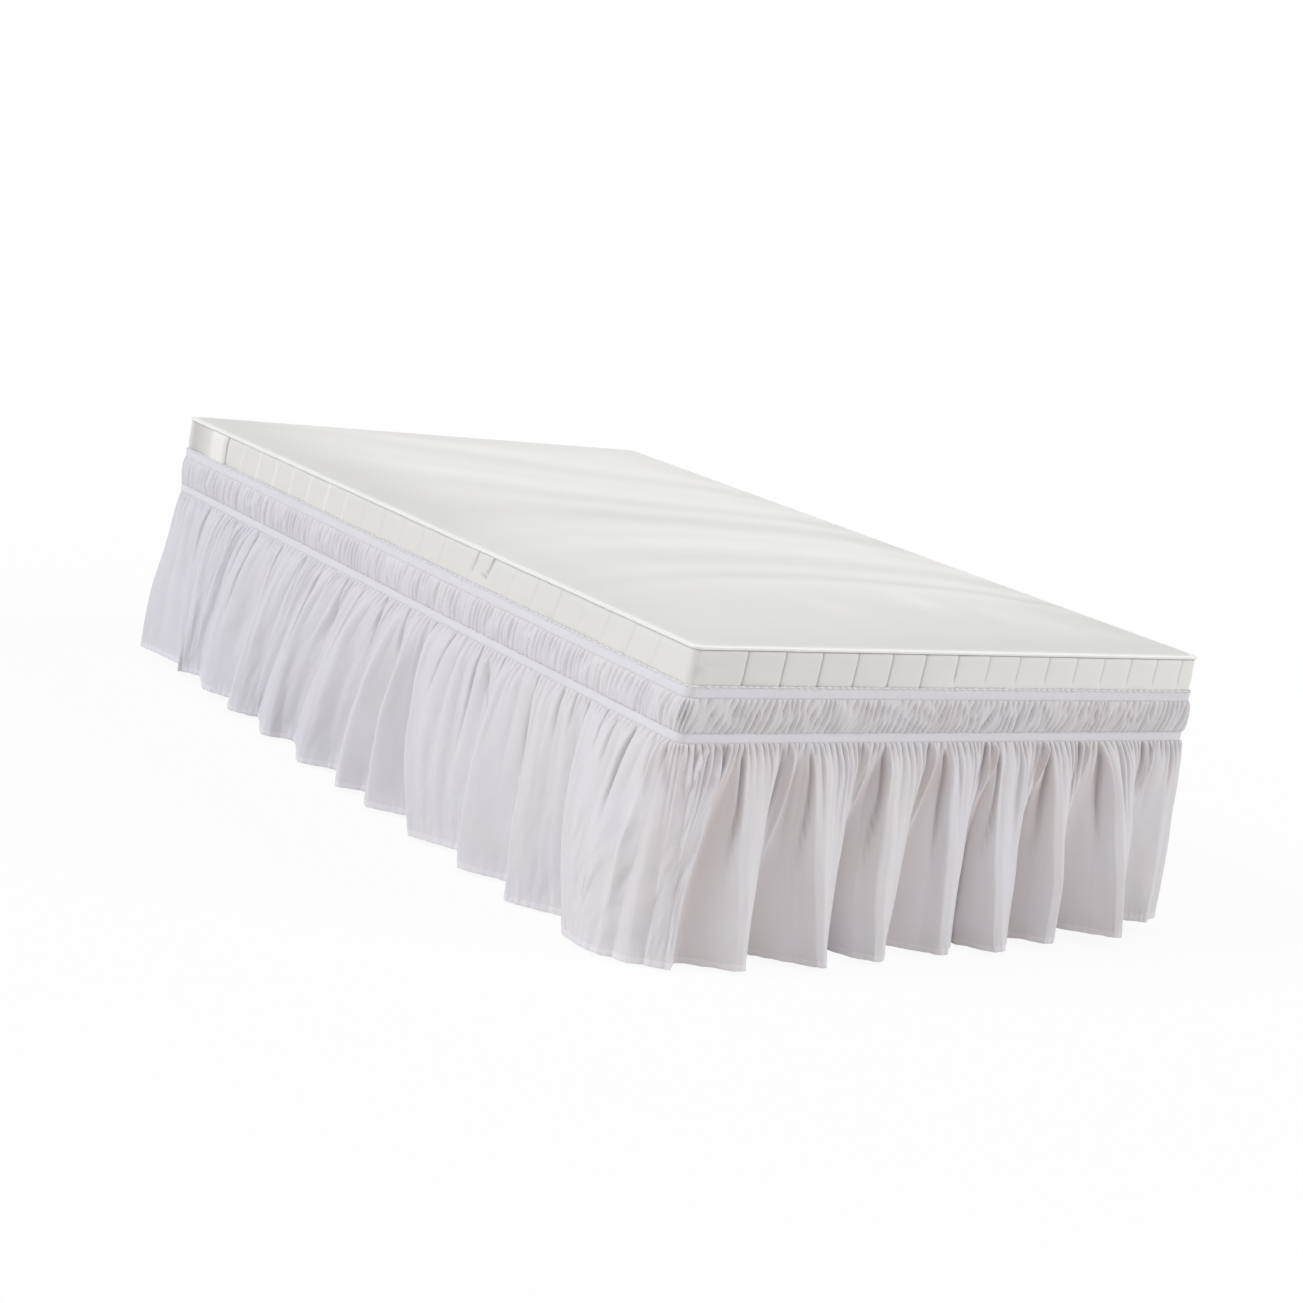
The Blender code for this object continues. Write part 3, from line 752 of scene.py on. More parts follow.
# The cloth is sewn from three panels, which meet in hollows near the foot: (name, start, end, column spacing)
LEFT_SEAM = LEFT_FOLDS[-1][2][0]
RIGHT_SEAM = RIGHT_START + RIGHT_CREST[0] - RIGHT_FLANK[0]
PANELS = (
    ("left", 0.0, LEFT_SEAM, 0.00125),
    ("foot", LEFT_SEAM, RIGHT_SEAM, 0.00110),
    ("right", RIGHT_SEAM, SKIRT_END, 0.0019),
)

# Rules that change round the skirt: (place, value)
STRIP_LEANS = ((0.0, 0.003), (1.60, 0.006), (1.88, 0.020), (3.05, 0.022), (3.20, 0.004), (4.96, 0.003))
STRIP_FULLNESS = (
    (0.0, 0.5), (1.80, 0.5), (1.94, 1.0), (2.85, 1.0), (3.03, 0.2), (3.12, 0.2), (3.40, 1.0), (4.96, 1.0),
)
GATHER_SHARES = ((0.0, 0.66), (1.80, 0.66), (1.94, 1.0), (3.05, 1.0), (3.20, 0.8), (4.96, 0.8))
GATHER_RUNS = ((0.0, 0.65), (1.82, 0.65), (1.96, 1.15), (3.02, 1.15), (3.16, 0.8), (4.96, 0.8))
CRUMPLES = (
    (0.0, 0.25), (1.50, 0.25), (1.72, 1.0), (1.89, 1.0), (1.96, 0.45), (3.0, 0.45), (3.2, 0.25), (4.96, 0.25),
)

# The heading's frilled edge: height over HEADING_TOP in a valley and on a frill, and how much painted shade
# its gaps show
FRILL_RISE = (-0.0012, 0.0008)
FRILL_GAP = 0.10
FRILL_GAP_SHARPNESS = 1.8
FRILL_SEEDS = (31, 71)
# Its rows: (share of the way up from the elastic, reach, reach that a frill adds, share of the hem's lighter
# tint, which paints a highlight on the frills)
FRILL_ROWS = (
    (1.00, -0.0003, 0.0012, 1.0),
    (0.55, 0.0008, 0.0020, 1.0),
    (0.00, 0.0014, 0.0018, 0.0),
)

# The strip between the elastics
STRIP_ROWS = (0.0, 0.04, 0.11, 0.20, 0.31, 0.43, 0.56, 0.69, 0.80, 0.89, 0.96, 1.0)
# Its two sets of gathers: (seeds of their places, runs, heights and leans, whether they run down,
# share of the lean)
STRIP_GATHERS = (((31, 33, 35, 37), True, 1.25), ((11, 13, 15, 17), False, 0.55))
STRIP_PITCH = 0.85  # in gather pitches
STRIP_LEAN_CHANCE = 1.1
STRIP_LEAN_PITCH = 0.045
STRIP_RUNS = (0.30, 1.25)  # shortest and longest run of a gather, as shares of the strip
STRIP_RUN_OUT = (0.35, 1.0, 0.15)  # share of the strip over which it runs out there, height before and after
STRIP_REACH = 0.0017
STRIP_HELD = 0.34  # share of a gather's depth that is left at the elastics
STRIP_DEPTH_POWER = 0.6
STRIP_PUFF = 0.0040
PUFF_POWER = 0.8
PUFF_SEEDS = (43, 44)
PUFF_LOWEST = 0.25
PUFF_PITCH = 2.4
PUFF_DRIFT = 0.012  # how far a puff leans over the whole strip
# Painted shade in the strip's valleys (its hollows and ticks), and painted light on the strip along the
# sides, where its gathers are shallower
STRIP_SHADE = 0.65
SHADE_POWER = 3
STRIP_TICKS = 0.42
STRIP_LIGHT = 0.75
TICK_SHARPNESS = 2.6

# The hanging cloth
FALL_DROPS = (
    0.0, 0.0025, 0.0070, 0.012, 0.018, 0.025, 0.034, 0.045, 0.058, 0.073, 0.090,
    0.110, 0.132, 0.156, 0.182, 0.209, 0.237, 0.266, 0.294, 0.318, 0.333,
)
HANG_REACH = 0.0018
HANG_CLEARANCE = (0.0, 0.032, 0.0, 0.0030)
HANG_DEEPEST = -0.0008
FLARE_POWER = 0.86
EARLY_END = 0.75  # fall at which every fold has its own reach
FOLD_ROUNDNESS = 0.4
FOLD_SOFTNESS = 0.0025
FOLD_WANDER = (0.0, 0.3, 0.0, 0.009)
FOLD_WANDER_NOISE = ((0.055, 0.085), 99)  # (pitches along the skirt and down it, seed)
# How deep the cloth lies in a recess of the large folds, which narrows its fine ridges and sets the painted
# shade there
RECESS_WIDTH = 0.030
RECESS_DEPTH = (0.008, 0.036)  # of a full recess, at the elastic and at the hem
RECESS_GROWTH = (0.0, 0.004)
RECESS_FADE = (0.0, 0.55, 1.0, 0.58)

# Fine gathers below the elastic
FALL_PITCH = 0.80  # in gather pitches
FALL_SEEDS = (11, 15, 81)  # of the gathers' places, their heights and their runs
GATHER_BELOW = 0.0078
GATHER_GROWTH = (0.0, 0.006, 0.55, 1.0)
GATHER_RUN = (0.013, 0.093)  # shortest and longest
RUN_POWER = 2  # makes long runs rarer
GATHER_FADE_POWER = 1.5
RIDGE_WIDTHS = (0.95, 2.2)  # on a fold's crest, and in its recess
TICK_RUN = (0.006, 0.22)  # of the ticks of painted shadow between them: the least, and what a gather's run adds
# Broad gathers, which the fine ones join into
BROAD_GATHER = (0.0, 0.045, 0.0, 0.0080)
BROAD_PITCH = 2.3
BROAD_SEEDS = (91, 92)
BROAD_END = 0.050
BROAD_FADE = (0.06, 0.22)  # shortest and longest
BROAD_FADE_NOISE = (0.05, 93)
BROAD_HELD = 0.35  # share of them at the corners
# Small folds all the way down
SMALL_FOLD_DEPTH = 0.009
SMALL_FOLD_PITCH = 0.068
SMALL_FOLD_DRIFT = 0.41
SMALL_FOLD_WANDER = 1.3
SMALL_FOLD_POWER = 0.6
SOFT_RELIEF = ((0.0034, (0.045, 0.12), 95), (0.0024, (0.016, 0.05), 97))  # (height, pitches, seed)
SOFT_GROWTH = (0.0, 0.04)
# The hem
HEM_STEP = 0.0008
HEM_FOLD = 0.0007  # height of the round of its fold
HEM_THICKNESS = 0.0006
PUCKER_PITCH = 0.012
PUCKER_SEEDS = (61, 62)
HEM_PUCKER = (0.012, 0.008, 0.0013, 0.0)  # going by the height above the hem's edge
HEM_SCALLOP = (0.0, 0.004, 0.0014, 0.0)
SCALLOP_NOISE = (0.008, 63)
# What the material is told, to paint shade: the width and depth of a full hollow, and the depth of a full
# crease
HOLLOW_WIDTH = 0.016
HOLLOW_DEPTH = (0.0, 0.05, 0.005, 0.008)
CREASE_DEPTH = 0.0085
CREASE_FADE = (0.0, 0.6, 1.0, 0.5)
CRUMPLE_GROWTH = (0.10, 0.40)


def skirt_columns():
    """Places round the skirt, and the first and last column of each panel."""
    places, spans = [0.0], {}
    for name, start, end, spacing in PANELS:
        count = round((end - start) / spacing)
        spans[name] = (len(places) - 1, len(places) - 1 + count)
        places += list(np.linspace(start, end, count + 1)[1:])
    return np.array(places), spans


def cloth_row(place, reach, z, **values):
    """A row of the cloth: its points, then its CLOTH_VALUES."""
    x, y = outline_past_end(place, reach)
    return side_by_side(x, y, z, *(values.get(name, 0.0) for name in CLOTH_VALUES))


def strip_ridge(s, share, sizes):
    """Gathers that run down from the upper elastic and up from the lower one, and fork where they meet."""
    pitch = STRIP_PITCH * sizes.gather_pitch
    heights = []
    for (place_seed, run_seed, height_seed, lean_seed), downwards, lean in STRIP_GATHERS:
        chance = STRIP_LEAN_CHANCE * (noise(s, STRIP_LEAN_PITCH, lean_seed) - 0.5)
        lean_run = along(STRIP_LEANS, s) * (lean + chance) * (1 - share)
        count = gather_count(s, pitch, place_seed) - lean_run / pitch
        run = mix(*STRIP_RUNS, by_ridge(count, run_seed))
        reached = share if downwards else 1 - share
        heights.append(pleat(count, height_seed) * eased(reached, run, *STRIP_RUN_OUT))
    return np.maximum(*heights)


def strip_reach(s, share, sizes):
    """How far the cloth between the elastics lies out, at a share of the way down."""
    middle = np.sin(np.pi * share)
    ridge = strip_ridge(s, share, sizes)
    gathers = sizes.gather_depth * mix(STRIP_HELD, 1.0, middle**STRIP_DEPTH_POWER) * ridge
    broad = ridges_along(s + PUFF_DRIFT * share, PUFF_PITCH * sizes.gather_pitch, PUFF_SEEDS)
    puff = STRIP_PUFF * mix(PUFF_LOWEST, 1.0, broad) * middle**PUFF_POWER * along(STRIP_FULLNESS, s)
    return CLOTH_REACH + STRIP_REACH + puff + gathers, ridge


def frill_rows(s, sizes):
    """The frilled edge that stands up over the upper elastic."""
    elastic_top = UPPER_ELASTIC[1]
    frill = ridges_along(s - along(STRIP_LEANS, s), sizes.gather_pitch, FRILL_SEEDS)
    edge = HEADING_TOP + mix(*FRILL_RISE, frill)
    # painted shade in the gaps between the frills
    gap = FRILL_GAP * unit(1 - FRILL_GAP_SHARPNESS * frill)
    rows = []
    for up, reach, frill_reach, tinted_share in FRILL_ROWS:
        z = np.maximum(mix(elastic_top, edge, up), elastic_top + EDGE_CLOTH)
        reach = CLOTH_REACH + reach + frill_reach * frill
        # hem: painted highlight on the frills' tops
        rows.append(cloth_row(s, reach, z, hollow=gap, hem=tinted_share * frill))
    return rows


def strip_rows(s, sizes):
    """The gathered strip between the two elastics, with painted shade in its valleys and painted light along
    the sides.
    """
    top, bottom = UPPER_ELASTIC[0] - EDGE_CLOTH, LOWER_ELASTIC[1] + EDGE_CLOTH
    shaded = along(GATHER_SHARES, s) ** 2
    rows = []
    for share in STRIP_ROWS:
        reach, ridge = strip_reach(s, share, sizes)
        # hollow and crease paint shade into the valleys, hem paints light along the sides
        rows.append(cloth_row(
            s, reach, mix(top, bottom, share),
            hollow=STRIP_SHADE * shaded * (1 - ridge) ** SHADE_POWER,
            crease=STRIP_TICKS * shaded * unit(1 - TICK_SHARPNESS * ridge),
            hem=STRIP_LIGHT * (1 - shaded),
        ))
    return rows


def flat_rows(s, heights):
    """Rows of cloth that an elastic holds flat."""
    return [cloth_row(s, CLOTH_REACH, z) for z in heights]


def heading_rows(s, sizes):
    """The cloth from its frilled edge down to the middle of the lower elastic."""
    low, high = UPPER_ELASTIC
    under_upper = flat_rows(s, (high - TUCKED_CLOTH, low + TUCKED_CLOTH))
    under_lower = flat_rows(s, (LOWER_ELASTIC[1] - TUCKED_CLOTH, JOIN_HEIGHT))
    return np.array(frill_rows(s, sizes) + under_upper + strip_rows(s, sizes) + under_lower)


def all_lines():
    """Every crease and ridge: (start, end, fall at both, height, half width before it and after it)."""
    for offset, table in ((0.0, LEFT_LINES), (FOOT_START, CORNER_LINES)):
        for start, end, high_up, low_down, height, width in table:
            yield offset + start, offset + end, high_up, low_down, height, width, width
    for _, _, right, crease, fan, joins, _ in FOOT_FOLDS:
        joined = FOOT_START + bend(right, joins)
        for from_start, from_join, share, *form in FAN_LINES:
            yield FOOT_START + fan + from_start, joined + from_join, 0.0, share * joins, *form
        yield FOOT_START + crease[0], FOOT_START + crease[1], *RIDGE_LINE


def line_relief(place, fall):
    """Height of the creases and ridges at places round the skirt and a fall from the elastic."""
    relief = np.zeros_like(place)
    for start, end, high_up, low_down, height, before, after in all_lines():
        share = (fall - high_up) / (low_down - high_up)
        away = place - mix(start, end, unit(share))
        section = np.exp(-np.abs(away / np.where(away < 0, before, after)) ** LINE_ROUNDNESS)
        relief += height * eased(share, *LINE_GROWTH) * eased(share, *LINE_FADE) * section
    return relief


def large_folds(s, fall):
    """Where a place at the elastic has moved to, and how far the large folds stand out there."""
    stations = fold_stations()
    top, early, full = stations[:, 0], stations[:, 3], stations[:, 4]
    here = np.clip(np.searchsorted(top, s, side="right") - 1, 0, len(top) - 2)
    there = here + 1
    t = (s - top[here]) / (top[there] - top[here])
    flare = np.sin(np.pi / 2 * fall**FLARE_POWER)

    def at_fall(station):
        reach = full[station] * flare * mix(early[station], 1.0, smooth(fall / EARLY_END))
        return bend(stations[station, :3].T, fall), reach

    (first_place, first), (second_place, second) = at_fall(here), at_fall(there)
    low, high = np.minimum(first, second), np.maximum(first, second)
    rising = np.where(second >= first, t, 1 - t)
    reach = mix(low, high, mix(rising, smooth(rising), FOLD_ROUNDNESS))
    return mix(first_place, second_place, t), soften(reach, s, FOLD_SOFTNESS)


def fall_length(s):
    """Length of the hanging cloth below each place at the elastic."""
    stations = fold_stations()
    return FALL_START - along(HEM_LINE, np.interp(s, stations[:, 0], stations[:, 2]))


def recess_of(large, s, drop, fall):
    """How deep in a recess of the large folds the cloth lies, from 0 to 1; the material paints shade by it.
    """
    recess = unit((soften(large, s, RECESS_WIDTH) - large) / mix(*RECESS_DEPTH, fall))
    return recess * eased(drop, *RECESS_GROWTH) * eased(fall, *RECESS_FADE) * along(GATHER_SHARES, s) ** 2


def fine_gathers(s, drop, recess, sizes):
    """Gathers that run out one by one below the elastic, and the ticks of painted shadow between them."""
    place_seed, height_seed, run_seed = FALL_SEEDS
    count = gather_count(s, FALL_PITCH * sizes.gather_pitch, place_seed)
    run = mix(*GATHER_RUN, by_ridge(count, run_seed) ** RUN_POWER) * along(GATHER_RUNS, s)
    ridges = pleat(count, height_seed, mix(*RIDGE_WIDTHS, recess))
    held = eased(drop, *GATHER_GROWTH) * np.exp(-((drop / run) ** GATHER_FADE_POWER))
    least, added = TICK_RUN
    ticks = unit(1 - TICK_SHARPNESS * ridges) * bell(drop, least + added * run)
    return GATHER_BELOW * along(GATHER_SHARES, s) * held * ridges, ticks


def broad_gathers(s, drop, sizes):
    """The broader gathers that the fine ones join into."""
    ridges = ridges_along(s, BROAD_PITCH * sizes.gather_pitch, BROAD_SEEDS)
    fade = mix(*BROAD_FADE, noise(s, *BROAD_FADE_NOISE))
    height = eased(drop, *BROAD_GATHER) * eased(drop, BROAD_END, fade, 1.0, 0.0)
    return height * mix(BROAD_HELD, 1.0, calm(s)) * unit(along(GATHER_RUNS, s)) * ridges


def small_folds(s, fall):
    """The small folds between the large ones."""
    drift = SMALL_FOLD_WANDER * np.sin(2 * np.pi * s / SMALL_FOLD_DRIFT)
    across = (0.5 + 0.5 * np.sin(2 * np.pi * s / SMALL_FOLD_PITCH + drift)) * calm(s)
    return 0.5 * SMALL_FOLD_DEPTH * np.sin(np.pi * fall**SMALL_FOLD_POWER) * across


def soft_relief(s, drop):
    """Chance unevenness of the hanging cloth."""
    relief = sum(height * noise2(s, drop, pitches, seed) for height, pitches, seed in SOFT_RELIEF)
    return relief * eased(drop, *SOFT_GROWTH)


def hem_pucker(place, above):
    """Small puckers that the hem's stitches draw into the cloth."""
    return ridges_along(place, PUCKER_PITCH, PUCKER_SEEDS) * eased(above, *HEM_PUCKER)


def fall_row(s, sizes, drop=None, up=None):
    """A row of the hanging cloth, drop below the lower elastic or up from the hem."""
    length = fall_length(s)
    drop = np.full_like(s, drop) if up is None else length - up
    fall = unit(drop / length)
    above = length - np.minimum(drop, length)
    place, large = large_folds(s, fall)
    place = place + noise2(s, drop, *FOLD_WANDER_NOISE) * eased(fall, *FOLD_WANDER) * calm(s)
    recess = recess_of(large, s, drop, fall)
    fine, ticks = fine_gathers(s, drop, recess, sizes)
    lines = line_relief(place, fall)
    gathers = fine + broad_gathers(s, drop, sizes)
    detail = small_folds(s, fall) + gathers + lines + soft_relief(s, drop) + hem_pucker(place, above)
    reach = CLOTH_REACH + HANG_REACH + eased(drop, *HANG_CLEARANCE) + np.maximum(large + detail, HANG_DEEPEST)
    detail = reach - large
    # painted shade along the creases, fading lower down
    creased = unit(-lines / CREASE_DEPTH) * eased(fall, *CREASE_FADE)
    scallop = noise(place, *SCALLOP_NOISE) * eased(above, *HEM_SCALLOP)
    # hollow, recess and crease are painted shade; hem lightens the doubled hem
    return cloth_row(
        place, reach, FALL_START - fall * length + scallop,
        hollow=unit((soften(detail, s, HOLLOW_WIDTH) - detail) / eased(drop, *HOLLOW_DEPTH)),
        recess=recess,
        crease=along(GATHER_SHARES, s) ** 2 * np.maximum(ticks, creased),
        hem=eased(above, sizes.hem_depth, HEM_STEP, 1.0, 0.0),
        crumple=along(CRUMPLES, s) * eased(fall, *CRUMPLE_GROWTH),
    )


def fall_rows(s, sizes):
    """The cloth from the middle of the lower elastic down to its turned hem."""
    rows = flat_rows(s, (JOIN_HEIGHT, LOWER_ELASTIC[0] + TUCKED_CLOTH))
    rows += [fall_row(s, sizes, drop=drop) for drop in FALL_DROPS]
    rows += [fall_row(s, sizes, up=up) for up in (sizes.hem_depth + HEM_STEP, sizes.hem_depth, HEM_FOLD, 0.0)]
    rows = np.array(rows)
    rows[-3:, :, :3] += HEM_THICKNESS * outward(rows[:, :, :3])[-3:]
    return rows


class BEDSKIRT_OT_cloth(bpy.types.Operator):
    """Build the gathered cloth of the skirt, from its heading to its hem"""
    bl_idname = "bedskirt.cloth"
    bl_label = "Skirt cloth"

    def execute(self, context):
        sizes, colours = context.scene.bed_skirt_sizes, context.scene.bed_skirt_colours
        material = material_named("plain woven skirt cloth", cloth_material, colours)
        s, spans = skirt_columns()
        for part, rows, height in (
            ("heading", heading_rows(s, sizes), HEADING_HEIGHT),
            ("fall", fall_rows(s, sizes), FALL_HEIGHT),
        ):
            for panel, start, end, _ in PANELS:
                first, last = spans[panel]
                name = f"skirt_{part}_{panel}"
                points = rows[:, first : last + 1, :3]
                uv = surface_map(s[first : last + 1] * CLOTH_FULLNESS, points)
                values = {key: rows[:, first : last + 1, 3 + i] for i, key in enumerate(CLOTH_VALUES)}
                mesh = grid_mesh(name, points, uv, values)
                piece = thicken(add_object(name, mesh, material), sizes.cloth_thickness)
                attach(piece, "root")
                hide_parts("skirt")
        return {"FINISHED"}


# ---------------------------------------------------------------- the elastics and the stitches

ELASTIC_COLUMNS = 1500
ELASTIC_ROWS = (0.0, 0.05, 0.20, 0.5, 0.80, 0.95, 1.0)  # shares of the way down
ELASTIC_THICKNESS = 0.0008
ELASTIC_PUSH = 0.0004  # how far the gathers under it push it out
RIB_HEIGHT = 0.00018
RIBS = 9
PICOT_SWAY = 0.0005
PICOT_PITCH = 0.022
PICOT_DROP = 0.0003
PICOT_POWER = 10  # of its growth towards the two edges
CLOTH_END_RUN = 0.02
STITCH_COLUMNS = 1500
STITCH_INSET = 0.0022  # from an elastic's edge
STITCH_REACH = 0.00095
STITCH_END = 0.004
STITCH_LENGTHS = {"elastic_stitches": 0.8, "hem_stitches": 0.75}  # in stitch pitches
FIRST_SEED = 3
HEM_STITCH_COLUMNS = 2600
HEM_STITCH_LIFTS = (0.002, -0.001, -0.004)  # the hem's stitches lie on the middle one of these rows
HEM_STITCH_REACH = 0.0010


def elastic_reach(s):
    """How far out an elastic's middle lies: over the cloth, or against the block on the head side."""
    on_head_side = eased(s, SKIRT_END, ARC_RUN) - eased(s, LAST_CORNER_START, ARC_RUN)
    return mix(ELASTIC_REACH, ELASTIC_HEAD_REACH, on_head_side)


def elastic_points(s, low, high, seed, sizes):
    """A ribbed band round the whole block, with a slightly wavy edge where it holds cloth."""
    over_cloth = smooth((SKIRT_END - s) / CLOTH_END_RUN)
    pushed = ELASTIC_PUSH * ridges_along(s, sizes.gather_pitch, (FALL_SEEDS[0], seed)) * over_cloth
    rows = []
    for share in ELASTIC_ROWS:
        edge = abs(2 * share - 1) ** PICOT_POWER * over_cloth
        rib = RIB_HEIGHT * math.sin(share * math.pi * RIBS) ** 2
        x, y = outline(s, elastic_reach(s) + pushed + rib - PICOT_DROP * edge)
        sway = PICOT_SWAY * (noise(s, PICOT_PITCH, seed + 1) - 0.5) * edge
        rows.append(side_by_side(x, y, mix(high, low, share) + sway))
    return np.array(rows)


class BEDSKIRT_OT_elastics(bpy.types.Operator):
    """Build the two elastics that hold the cloth round the block"""
    bl_idname = "bedskirt.elastics"
    bl_label = "Elastics"

    def execute(self, context):
        sizes, colours = context.scene.bed_skirt_sizes, context.scene.bed_skirt_colours
        material = material_named("ribbed elastic", elastic_material, colours)
        s = np.linspace(0.0, WHOLE_RUN, ELASTIC_COLUMNS, endpoint=False)
        for name, node, (low, high), seed in (
            ("elastic_band_upper", "elastic_upper", UPPER_ELASTIC, 101),
            ("elastic_band_lower", "elastic_lower", LOWER_ELASTIC, 111),
        ):
            points = elastic_points(s, low, high, seed, sizes)
            mesh = grid_mesh(name, points, surface_map(s, points), closed=True)
            piece = thicken(add_object(name, mesh, material), ELASTIC_THICKNESS)
            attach(piece, "root")
            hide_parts(node)
        return {"FINISHED"}


def polyline(name, points):
    mesh = bpy.data.meshes.new(name)
    mesh.from_pydata([tuple(p) for p in points], [(i, i + 1) for i in range(len(points) - 1)], [])
    return mesh


def stitch_tree():
    """Thread stitches laid along a line: each is a small capped spindle, turned a little by chance."""
    tree = bpy.data.node_groups.new("stitches along a line", "GeometryNodeTree")
    for name, kind, default in (
        ("Geometry", "NodeSocketGeometry", None),
        ("Pitch", "NodeSocketFloat", 0.0042),
        ("Stitch length", "NodeSocketFloat", 0.0030),
        ("Thread radius", "NodeSocketFloat", 0.00032),
        ("Unevenness", "NodeSocketFloat", 0.12),
        ("Seed", "NodeSocketInt", FIRST_SEED),
        ("Material", "NodeSocketMaterial", None),
    ):
        socket = tree.interface.new_socket(name, in_out="INPUT", socket_type=kind)
        if default is not None:
            socket.default_value = default
    tree.interface.new_socket("Geometry", in_out="OUTPUT", socket_type="NodeSocketGeometry")
    given = tree.nodes.new("NodeGroupInput").outputs
    curve = add_node(tree, "GeometryNodeMeshToCurve", {"Mesh": given["Geometry"]}).outputs["Curve"]
    spaced = add_node(
        tree, "GeometryNodeResampleCurve", {"Curve": curve, "Length": given["Pitch"]}, mode="LENGTH")
    tangent = add_node(tree, "GeometryNodeInputTangent").outputs["Tangent"]
    aligned = add_node(tree, "FunctionNodeAlignRotationToVector", {"Vector": tangent}, axis="Z")
    spindle = add_node(tree, "GeometryNodeMeshUVSphere", {"Radius": 1.0, "Segments": 5, "Rings": 2})
    half = add_node(tree, "ShaderNodeMath", {0: given["Stitch length"], 1: 0.5}, operation="MULTIPLY")
    radius = given["Thread radius"]
    size = add_node(tree, "ShaderNodeCombineXYZ", {"X": radius, "Y": radius, "Z": half.outputs[0]})
    placed = add_node(tree, "GeometryNodeInstanceOnPoints", {
        "Points": spaced.outputs["Curve"], "Instance": spindle.outputs["Mesh"],
        "Rotation": aligned.outputs["Rotation"], "Scale": size.outputs["Vector"],
    })
    most = add_node(tree, "ShaderNodeCombineXYZ", {axis: given["Unevenness"] for axis in "XYZ"}).outputs[0]
    limits = {"Min": scaled_tone(tree, most, -1.0), "Max": most, "Seed": given["Seed"]}
    chance = add_node(tree, "FunctionNodeRandomValue", limits, data_type="FLOAT_VECTOR")
    turned = add_node(tree, "GeometryNodeRotateInstances", {
        "Instances": placed.outputs["Instances"], "Rotation": chance.outputs["Value"],
    })
    real = add_node(tree, "GeometryNodeRealizeInstances", {"Geometry": turned.outputs["Instances"]})
    finished = add_node(tree, "GeometryNodeSetMaterial", {
        "Geometry": real.outputs["Geometry"], "Material": given["Material"],
    })
    add_node(tree, "NodeGroupOutput", {"Geometry": finished.outputs["Geometry"]})
    return tree


def set_inputs(modifier, tree, values):
    """Sets a modifier's inputs by the identifier of each named socket."""
    names = {item.name: item.identifier for item in tree.interface.items_tree if item.in_out == "INPUT"}
    for name, value in values.items():
        modifier[names[name]] = value


def sew(name, lines, tree, material, sizes):
    """Lays stitches along every line, and returns them as one plain mesh."""
    values = {
        "Pitch": sizes.stitch_pitch, "Thread radius": sizes.thread_radius, "Material": material,
        "Stitch length": STITCH_LENGTHS[name] * sizes.stitch_pitch,
    }
    joined = bmesh.new()
    for number, points in enumerate(lines):
        obj = add_object(f"{name}_line", polyline(name, points), material)
        modifier = obj.modifiers.new("stitches", "NODES")
        modifier.node_group = tree
        set_inputs(modifier, tree, {**values, "Seed": FIRST_SEED + number})
        graph = bpy.context.evaluated_depsgraph_get()
        mesh = bpy.data.meshes.new_from_object(obj.evaluated_get(graph), depsgraph=graph)
        joined.from_mesh(mesh)
        bpy.data.objects.remove(obj)
        bpy.data.meshes.remove(mesh)
    mesh = bpy.data.meshes.new(name)
    joined.to_mesh(mesh)
    joined.free()
    mesh.shade_smooth()
    return add_object(name, mesh, material)


def elastic_stitch_lines():
    """Two rows of stitches on each elastic, as far as it lies over cloth."""
    s = np.linspace(STITCH_END, SKIRT_END - STITCH_END, STITCH_COLUMNS)
    x, y = outline(s, ELASTIC_REACH + STITCH_REACH)
    elastics = (UPPER_ELASTIC, LOWER_ELASTIC)
    heights = [z for low, high in elastics for z in (low + STITCH_INSET, high - STITCH_INSET)]
    return [side_by_side(x, y, z) for z in heights]


def hem_stitch_line(sizes):
    """One row of stitches just under the hem's upper edge."""
    s = np.linspace(STITCH_END, SKIRT_END - STITCH_END, HEM_STITCH_COLUMNS)
    band = np.array([fall_row(s, sizes, up=sizes.hem_depth + lift)[:, :3] for lift in HEM_STITCH_LIFTS])
    return (band + HEM_STITCH_REACH * outward(band))[1]


class BEDSKIRT_OT_stitches(bpy.types.Operator):
    """Sew the elastics and the hem"""
    bl_idname = "bedskirt.stitches"
    bl_label = "Stitches"

    def execute(self, context):
        sizes, colours = context.scene.bed_skirt_sizes, context.scene.bed_skirt_colours
        material = material_named("sewing thread", thread_material, colours)
        tree = stitch_tree()
        for name, lines in (
            ("elastic_stitches", elastic_stitch_lines()),
            ("hem_stitches", [hem_stitch_line(sizes)]),
        ):
            piece = sew(name, lines, tree, material, sizes)
            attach(piece, "root")
        return {"FINISHED"}


# ---------------------------------------------------------------- the block

TUCK_PITCH = 0.0754
FOOT_TUCK_PITCH = 0.0816
FOOT_TUCK_CLOSER = 0.0005  # how much closer together they come, from one to the next


def tuck_row(start, count, lean, depth, deeper, shows):
    """Evenly spaced tucks whose depth changes over every three of them."""
    return tuple((start + TUCK_PITCH * k, lean, depth + deeper * (k % 3), shows) for k in range(count))


def foot_tuck(k):
    place = 0.097 + FOOT_TUCK_PITCH * k - FOOT_TUCK_CLOSER * k * k
    return place, -0.004, 1.0 if k < 7 else 0.62, 1.0 if k < 6 else 0.62


